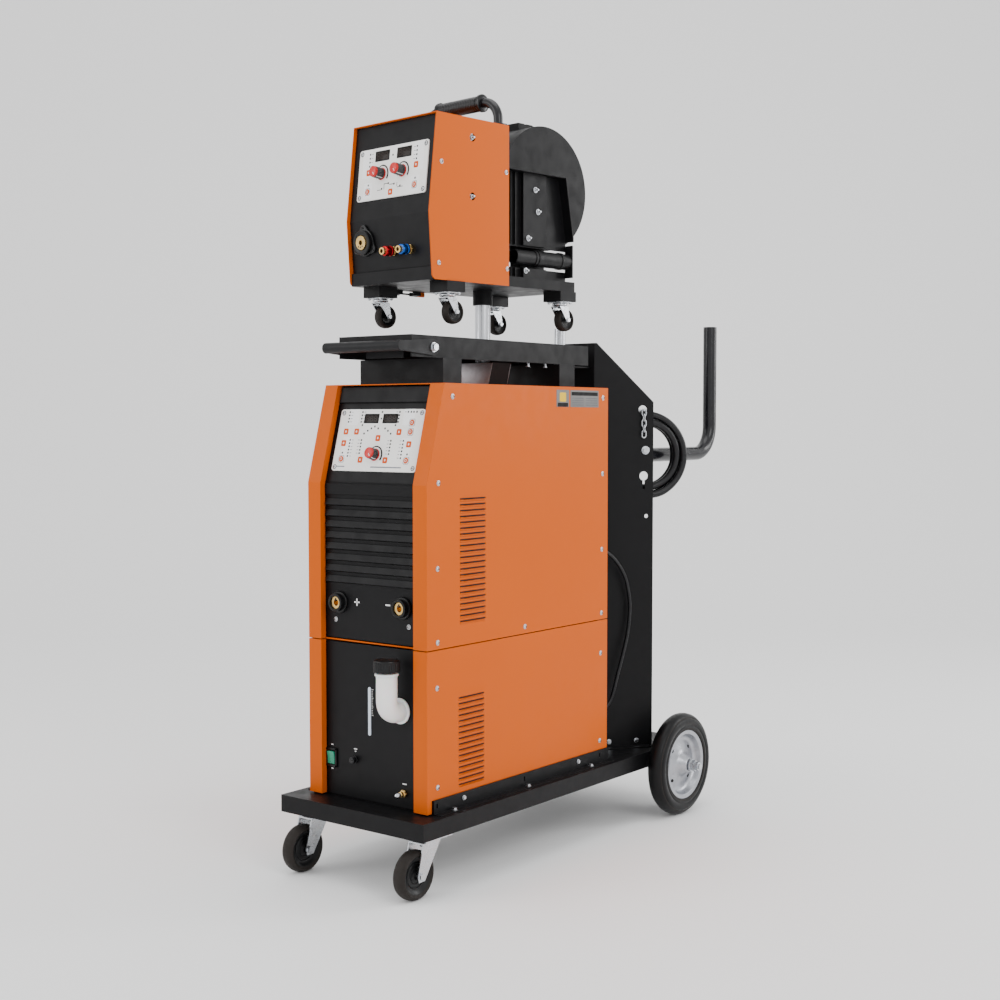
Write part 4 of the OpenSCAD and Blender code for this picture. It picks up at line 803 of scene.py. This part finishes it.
knob("power_knob", "main_knob_turn", "main_knob", "main_knob", 21)
knob("wire_knob_left", "feeder_knob_left_turn", "feeder_knob_left", "feeder_knob_left", 26.5)
knob("wire_knob_right", "feeder_knob_right_turn", "feeder_knob_right", "feeder_knob_right", 26.5)

# ---------- sockets and fittings ----------

sockets = Piece("welding_sockets", "cart")
for x in (-88, 88):
    at = on_front(x, 572, PANEL_Y)
    sockets.lathe([(12.8, -8), (22.5, 0), (23, 0.6), (23, 4.6), (22, 5.8), (19, 6.2), (18.8, 16.5),
                   (17.4, 18), (14.6, 18), (13.6, 17), (13.6, 0)], PLASTIC, at)
    sockets.lathe([(0, -6), (6.4, -6), (6.5, 12.6), (7.4, 13.6), (12.4, 13.6), (13.7, 12.4), (13.7, -10),
                   (0, -10)], BRASS, at)
    # Near-black key slot: painted shade inside the socket's slot.
    sockets.box((-1.9, 4, 6), (1.9, 9.6, 14.0), HOLE_SHADE, 0.3, at)
sockets.done("brass", "output_sockets")

signs = Piece("polarity_signs", "cart")
at = on_front(0, 0, PANEL_Y)
signs.flat([round_rect(15, 3, 0.3, -40, 575), round_rect(3, 15, 0.3, -40, 575),
            round_rect(13, 3, 0.3, 46, 575)],
           WHITE_INK, 0.25, at)
signs.done("white_panel")

cooler = Piece("cooler_details", "cart")
at = on_front(-113, 241, PANEL_Y)
for low, high in (((-15, -20, 0), (-10.2, 20, 4)), ((10.2, -20, 0), (15, 20, 4)),
                  ((-15, 15.2, 0), (15, 20, 4)), ((-15, -20, 0), (15, -15.2, 4))):
    cooler.box(low, high, PLASTIC, 0.7, at)
# Near-black block behind the switch frame: painted shade in the recess.
cooler.box((-12, -16, -12), (12, 16, -8), HOLE_SHADE, 0.5, at)
at = on_front(-46, 245, PANEL_Y)
cooler.prism(hexagon(8.6), 0, 4, SHINY, 0.6, at)
cooler.lathe([(0, 3), (7, 3), (7, 10), (6.4, 12.6), (5.4, 13), (0, 13)], SHINY, at, 32)
# Near-black slot on the cap: painted shade.
cooler.box((-5, -0.8, 12.2), (5, 0.8, 13.15), HOLE_SHADE, 0.1, at)
at = on_front(0, 0, PANEL_Y)
cooler.prism(round_rect(7.6, 101, 3.7, -5, 351), 0, 1.6, GAUGE, 0.4, at)
cooler.flat([round_rect(3.2 + 2 * (k % 5 == 0), 0.9, 0.2, 1.4 + (k % 5 == 0), 343 + 3.6 * k, 1)
             for k in range(16)],
            WHITE_INK, 0.3, at)
cooler.flat([round_rect(6, 2, 0.6, -113, 268), round_rect(6, 2, 0.6, -113, 217),
             round_rect(9, 2, 0.6, -46, 267), round_rect(4, 2, 0.6, -46, 262),
             round_rect(11, 2.4, 0.6, 90, 213)], WHITE_INK, 0.25, at)
at = on_front(90, 194, PANEL_Y)
cooler.prism(hexagon(8.6), 0, 5.5, BRASS, 0.5, at)
cooler.lathe([(0, 5), (7.2, 5), (7.2, 7.5), (5.6, 8), (5.6, 14), (4.8, 14.6), (0, 14.6)], BRASS, at, 32)
cooler.lathe([(0, 14), (4.2, 14), (4.4, 21), (3.6, 22), (0, 22)], ZINC, at, 28)
cooler.rod(5.4, 0, 5, ZINC, moved(plane(AT_CART, (84, 3, 190), (0, 1, 0), (0, 0, 1)), z=-5))
for x, mat in ((-110, RED_METAL), (-80, BLUE_METAL), (-50, BRASS)):
    at = on_back(x, 420, CAB_D - 9)
    cooler.prism(hexagon(10), 0, 8, BRASS, 0.6, at)
    cooler.lathe([(0, 7), (6.4, 7), (6.4, 12), (7.4, 13), (7.4, 26), (6, 28), (6, 30), (0, 30)], mat, at, 32)
at = on_back(110, 262, CAB_D - 9)
cooler.prism(hexagon(9.8), 3, 11, PLASTIC, 0.8, at)
cooler.lathe([(4.6, 0), (9, 0), (9, 5), (8.3, 12), (6, 24), (4.6, 24)], PLASTIC, at, 32)
cooler.done("brass", "cooler_fittings")

rocker = Piece("cooler_rocker", "cooler_switch")
rocker.prism([(-6.5, 13.6), (-2.5, 13.2), (5, 0), (-1.6, -13.2), (-3.4, -13.4), (-3.9, 0)], -9.6, 9.6,
             GREEN, 0.7, plane(AT_CART, (-113, PANEL_Y - 1, 241), (0, 1, 0), (0, 0, 1)))
rocker.done("switch_green", "cooler_switch")

NECK_X, NECK_Z, CAP_Z = 80, 362, 448
NECK_BEND, NECK_R = 26, 21.5
neck = Piece("tank_neck", "cart")
path = [(NECK_X, PANEL_Y + 12, NECK_Z), (NECK_X, 10, NECK_Z), (NECK_X, 2, NECK_Z)]
for a in range(0, 91, 9):
    r = math.radians(a)
    path.append((NECK_X, -NECK_BEND * math.sin(r), NECK_Z + NECK_BEND - NECK_BEND * math.cos(r)))
path += [(NECK_X, -NECK_BEND, z) for z in (395, 405, 415, 425, 435, 442)]
neck.tube(path, NECK_R, TANK, sides=40)
neck.lathe([(20, 0), (25, 0), (26.5, 1.6), (26.5, 4.2), (25, 5.6), (20, 6)], TANK,
           on_front(NECK_X, NECK_Z, PANEL_Y))
neck.lathe([(0, 0), (NECK_R, 0), (24.2, 3), (24.2, 6), (22, 7.4), (0, 7.4)], TANK,
           turned(AT_CART, (NECK_X, -NECK_BEND, 438)))
neck.done("tank_plastic", "filler_neck")

cap = Piece("tank_cap", "filler_cap")
at = turned(AT_CART, (NECK_X, -NECK_BEND, CAP_Z))
outline = []
for k in range(144):
    r = 27.2 if k % 4 in (0, 1) else 26.2
    outline.append((r * math.cos(2 * math.pi * k / 144), r * math.sin(2 * math.pi * k / 144)))
cap.prism(outline, 0, 21, PLASTIC, 0, at)
cap.lathe([(0, 20.6), (26.4, 20.6), (25.4, 23), (23, 24), (19, 24), (18.4, 23.2), (0, 23.2)], PLASTIC, at)
cap.done("black_plastic", "filler_cap")

torch = Piece("torch_socket", "feeder", AT_FEEDER)
at = on_low_front(-80, 90)
torch.lathe([(15, -12), (18, -12), (25, 0), (26, 1), (26, 12.4), (24.4, 14), (17, 14), (15.2, 12.5),
             (15.2, -12)],
            PLASTIC, at)
flange = []
for k in range(72):
    a = math.radians(5 * k)
    lobe = max(math.cos(3 * (a - math.radians(90))), 0) ** 2
    flange.append(((29 + 9 * lobe) * math.cos(a), (29 + 9 * lobe) * math.sin(a)))
torch.prism(flange, 0, 5.5, PLASTIC, 0.8, at)
for a in (90, 210, 330):
    spot = moved(at, 32.5 * math.cos(math.radians(a)), 32.5 * math.sin(math.radians(a)), 5.2)
    pan_screw(torch, spot, 2.6, SMOOTH_BLACK)
torch.lathe([(5, -26), (14.9, -26), (14.9, 14.8), (13.8, 16), (6, 16), (5, 15), (5, -26)], BRASS, at)
# Near-black bore and pin holes: painted shade.
torch.lathe([(0, 2), (5.2, 2), (5.2, 4), (0, 4)], HOLE_SHADE, at, 24)
for x in (-6, 0, 6):
    torch.lathe([(0, 15.4), (1.9, 15.4), (1.9, 16.1), (0, 16.1)], HOLE_SHADE,
                moved(at, x, -9.4 + abs(x) / 4), 18)
torch.done("brass", "euro_socket")

taps = Piece("water_taps", "feeder", AT_FEEDER)
for x, mat in ((8, RED_METAL), (58, BLUE_METAL)):
    at = on_low_front(x, 66)
    taps.prism(hexagon(11), 0, 5, BRASS, 0.6, at)
    taps.lathe([(4.4, -16), (8, -16), (8, 9), (7.6, 32), (7.8, 33), (7.8, 35.2), (7, 36), (4.4, 36),
                (4.4, -16)],
               BRASS, at, 40)
    taps.lathe([(7, 8), (10.2, 8), (11, 9), (11, 13), (10, 14), (10, 17), (11, 18), (11, 26), (10, 28),
                (7, 29)], mat, at, 40)
    # Near-black disc in the bore: painted shade.
    taps.lathe([(0, 14), (4.5, 14), (4.5, 15), (0, 15)], HOLE_SHADE, at, 24)
taps.done("brass", "water_couplings")

# ---------- wheels ----------


def caster_wheel(name, at, body, node, r, half, scale):
    """Grey-brown tyre on a black core with rings, seen from the axle."""
    piece = Piece(name, body, at)
    s = scale
    piece.lathe([(r * 0.76, -half * 0.80), (r * 0.86, -half), (r * 0.95, -half * 0.82), (r, -half * 0.34),
                 (r, half * 0.34), (r * 0.95, half * 0.82), (r * 0.86, half), (r * 0.76, half * 0.80)],
                TREAD, at, 96)
    for d in (-1, 1):
        piece.lathe([(0, 0), (0, d * 11.5 * s), (8 * s, d * 11.5 * s), (9 * s, d * 9 * s),
                     (12 * s, d * 7.5 * s), (15 * s, d * 7.2 * s), (15.8 * s, d * 8.6 * s),
                     (17 * s, d * 8.6 * s), (17.8 * s, d * 7.2 * s), (24 * s, d * 7.0 * s),
                     (24.8 * s, d * 8.2 * s), (26 * s, d * 8.2 * s), (27 * s, d * 7.0 * s),
                     (33 * s, d * 8.4 * s), (36 * s, d * 11.6 * s), (39 * s, d * 12 * s), (39.5 * s, 0)],
                    PLASTIC, at, 96)
    return piece.done("caster_tread", node)


for k, name in enumerate(("left", "right")):
    at = joint_frame("caster_roll_" + name)
    caster_wheel("front_wheel_" + name, at, "caster_wheel_" + name, "caster_wheel_" + name, 50, 15, 1.0)
for name in ("fl", "fr", "rl", "rr"):
    at = joint_frame("small_roll_" + name)
    caster_wheel("feeder_wheel_" + name, at, "small_wheel_" + name, "small_wheel_" + name, 25, 10.5, 0.5)

for side, name in ((-1, "left"), (1, "right")):
    at = joint_frame("rear_roll_" + name)
    body = "rear_wheel_" + name
    tyre = Piece("tyre_" + name, body, at)
    tyre.lathe([(82.2, 0), (82.2, -19), (84, -20.6), (88, -21.4), (92, -21.8), (93, -21.2), (95, -21.2),
                (96, -22), (104, -22), (108, -21), (110.5, -19), (111.5, -17.6), (113, -17.4), (116, -15.6),
                (119.5, -11), (121.4, -6), (122, 0), (121.4, 6), (119.5, 11), (116, 15.6), (113, 17.4),
                (111.5, 17.6), (110.5, 19), (108, 21), (104, 22), (96, 22), (95, 21.2), (93, 21.2),
                (92, 21.8), (88, 21.4), (84, 20.6), (82.2, 19), (82.2, 0)], TYRE, at, 128)
    for d in (-1, 1):
        tyre.lathe([(83.6, d * 19.8), (85.4, d * 21.6), (87, d * 21.7), (87.6, d * 20)], TREAD, at, 128)
        tyre.lathe([(110.4, d * 18), (111.4, d * 18.5), (112.9, d * 17.8), (113.2, d * 16)], TREAD, at, 128)
    tyre.done("tyre_rubber", "rear_tyre_" + name)
    rim = Piece("rim_" + name, body, at)
    s = side
    rim.lathe([(9.1, 30 * s), (16, 30 * s), (17, 29 * s), (19, 26 * s), (28, 12.4 * s), (31, 9.2 * s),
               (36, 7.6 * s), (46, 4.4 * s), (56, 1.0 * s), (62, 0.6 * s), (66, 2.4 * s), (69, 7 * s),
               (71, 13 * s), (73, 17 * s), (77, 18.6 * s), (82, 19 * s), (82, 16.6 * s), (75.4, 14 * s),
               (75.2, -14 * s), (82, -17 * s), (82, -19 * s), (72, -17 * s), (68, -8 * s), (60, -4 * s),
               (34, 4 * s), (30, 4 * s), (16, -6 * s), (16, -24 * s), (9.1, -24 * s), (9.1, 30 * s)],
              ZINC_MATT, at, 128)
    # Near-black discs for the rim's holes: painted shade.
    for a in (45, 135, 225, 315):
        spot = moved(spun(at, a), 50)
        if s > 0:
            rim.rod(4.4, 0.4, 4.0, HOLE_SHADE, spot, 0.2, 24)
        else:
            rim.rod(4.4, 0.4, 1.0, HOLE_SHADE, turned(spot, (0, 0, 0), "X", 180), 0.2, 24)
    rim.done("zinc", "rear_rim_" + name)

# ---------- feeder's handle ----------

handle = Piece("carrying_handle", "feeder", AT_FEEDER)
HANDLE_HALF, RAIL_BEND = 112, 42
grip_y, grip_z = FEED_D - 16, FEED_H + 54
at = plane(AT_FEEDER, (0, grip_y, grip_z), (0, 1, 0), (0, 0, 1))
ribs = []
for k in range(22):
    z = -58.5 + k * 5.2
    ribs += [(16.0, z), (16.7, z + 0.9), (16.7, z + 3.6), (16.0, z + 4.5)]
handle.lathe([(9, -68), (17, -68), (19, -66.6), (19, -61.5), (17.4, -60)] + ribs +
             [(17.4, 60), (19, 61.5), (19, 66.6), (17, 68), (9, 68)], SHINY, at, 48)
rail = [(-HANDLE_HALF, grip_y, FEED_H + 2)]
for sign in (-1, 1):
    angles = [math.radians(a) for a in range(0, 91, 9)]
    bend = [(sign * (HANDLE_HALF - RAIL_BEND + RAIL_BEND * math.cos(a)), grip_y,
             grip_z - RAIL_BEND + RAIL_BEND * math.sin(a)) for a in angles]
    rail += bend if sign < 0 else bend[::-1]
rail.append((HANDLE_HALF, grip_y, FEED_H + 2))
handle.tube(rail, 10, SMOOTH_BLACK, sides=28)
for x in (-HANDLE_HALF, HANDLE_HALF):
    handle.box((x - 14, grip_y - 14, FEED_H), (x + 14, grip_y + 14, FEED_H + 4), SMOOTH_BLACK, 1.2, AT_FEEDER)
handle.done("black_plastic", "feeder_handle")

# ---------- seam between the two fronts ----------

trim = Piece("seam_trim", "cart")
trim.box((-HALF_W + 3, PANEL_Y - 1.6, SEAM - 1.2), (HALF_W - 3, PANEL_Y + 1, SEAM + 1.6), ORANGE, 0.4)
trim.done("orange_powder")

# ---------- stage, light ----------

white = Paint("studio_floor", (0.96, 0.96, 0.96), 0.7)
white.vary_rough(white.noise(2.0), 0.65, 0.8)
floor = bpy.data.meshes.new("floor")
sweep = [(-6, 0), (3.2, 0)] + [(3.2 + 1.6 * math.sin(math.radians(a)), 1.6 - 1.6 * math.cos(math.radians(a)))
                               for a in range(10, 91, 10)] + [(4.8, 8)]
bm = bmesh.new()
rows = [[bm.verts.new((x, y, z)) for x in (-9, 9)] for y, z in sweep]
for a, b in zip(rows, rows[1:]):
    bm.faces.new((a[0], a[1], b[1], b[0]))
bm.transform(Matrix.Rotation(math.radians(37.79), 4, "Z"))
bm.to_mesh(floor)
bm.free()
floor.shade_smooth()
floor.materials.append(white.mat)
stage = bpy.data.objects.new("floor", floor)
bpy.context.scene.collection.objects.link(stage)

world = bpy.data.worlds.new("studio")
world.use_nodes = True
world.node_tree.nodes["Background"].inputs["Color"].default_value = (1, 1, 1, 1)
world.node_tree.nodes["Background"].inputs["Strength"].default_value = 1.15
bpy.context.scene.world = world


def area_light(name, place, target, size, power):
    data = bpy.data.lights.new(name, "AREA")
    data.shape = "RECTANGLE"
    data.size, data.size_y = size
    data.energy = power
    light = bpy.data.objects.new(name, data)
    light.location = place
    light.rotation_euler = (Vector(target) - Vector(place)).to_track_quat("-Z", "Y").to_euler()
    bpy.context.scene.collection.objects.link(light)


area_light("key", (3.6, -1.2, 2.6), (0, 0, 0.8), (1.6, 2.2), 42)
area_light("front", (-2.2, -3.4, 2.2), (0, 0, 0.8), (1.8, 2.2), 34)
area_light("top", (0.2, -0.4, 4.2), (0, 0, 0.8), (2.4, 2.4), 40)
area_light("rim", (2.4, 2.6, 2.0), (0, 0.2, 0.9), (0.9, 2.2), 40)
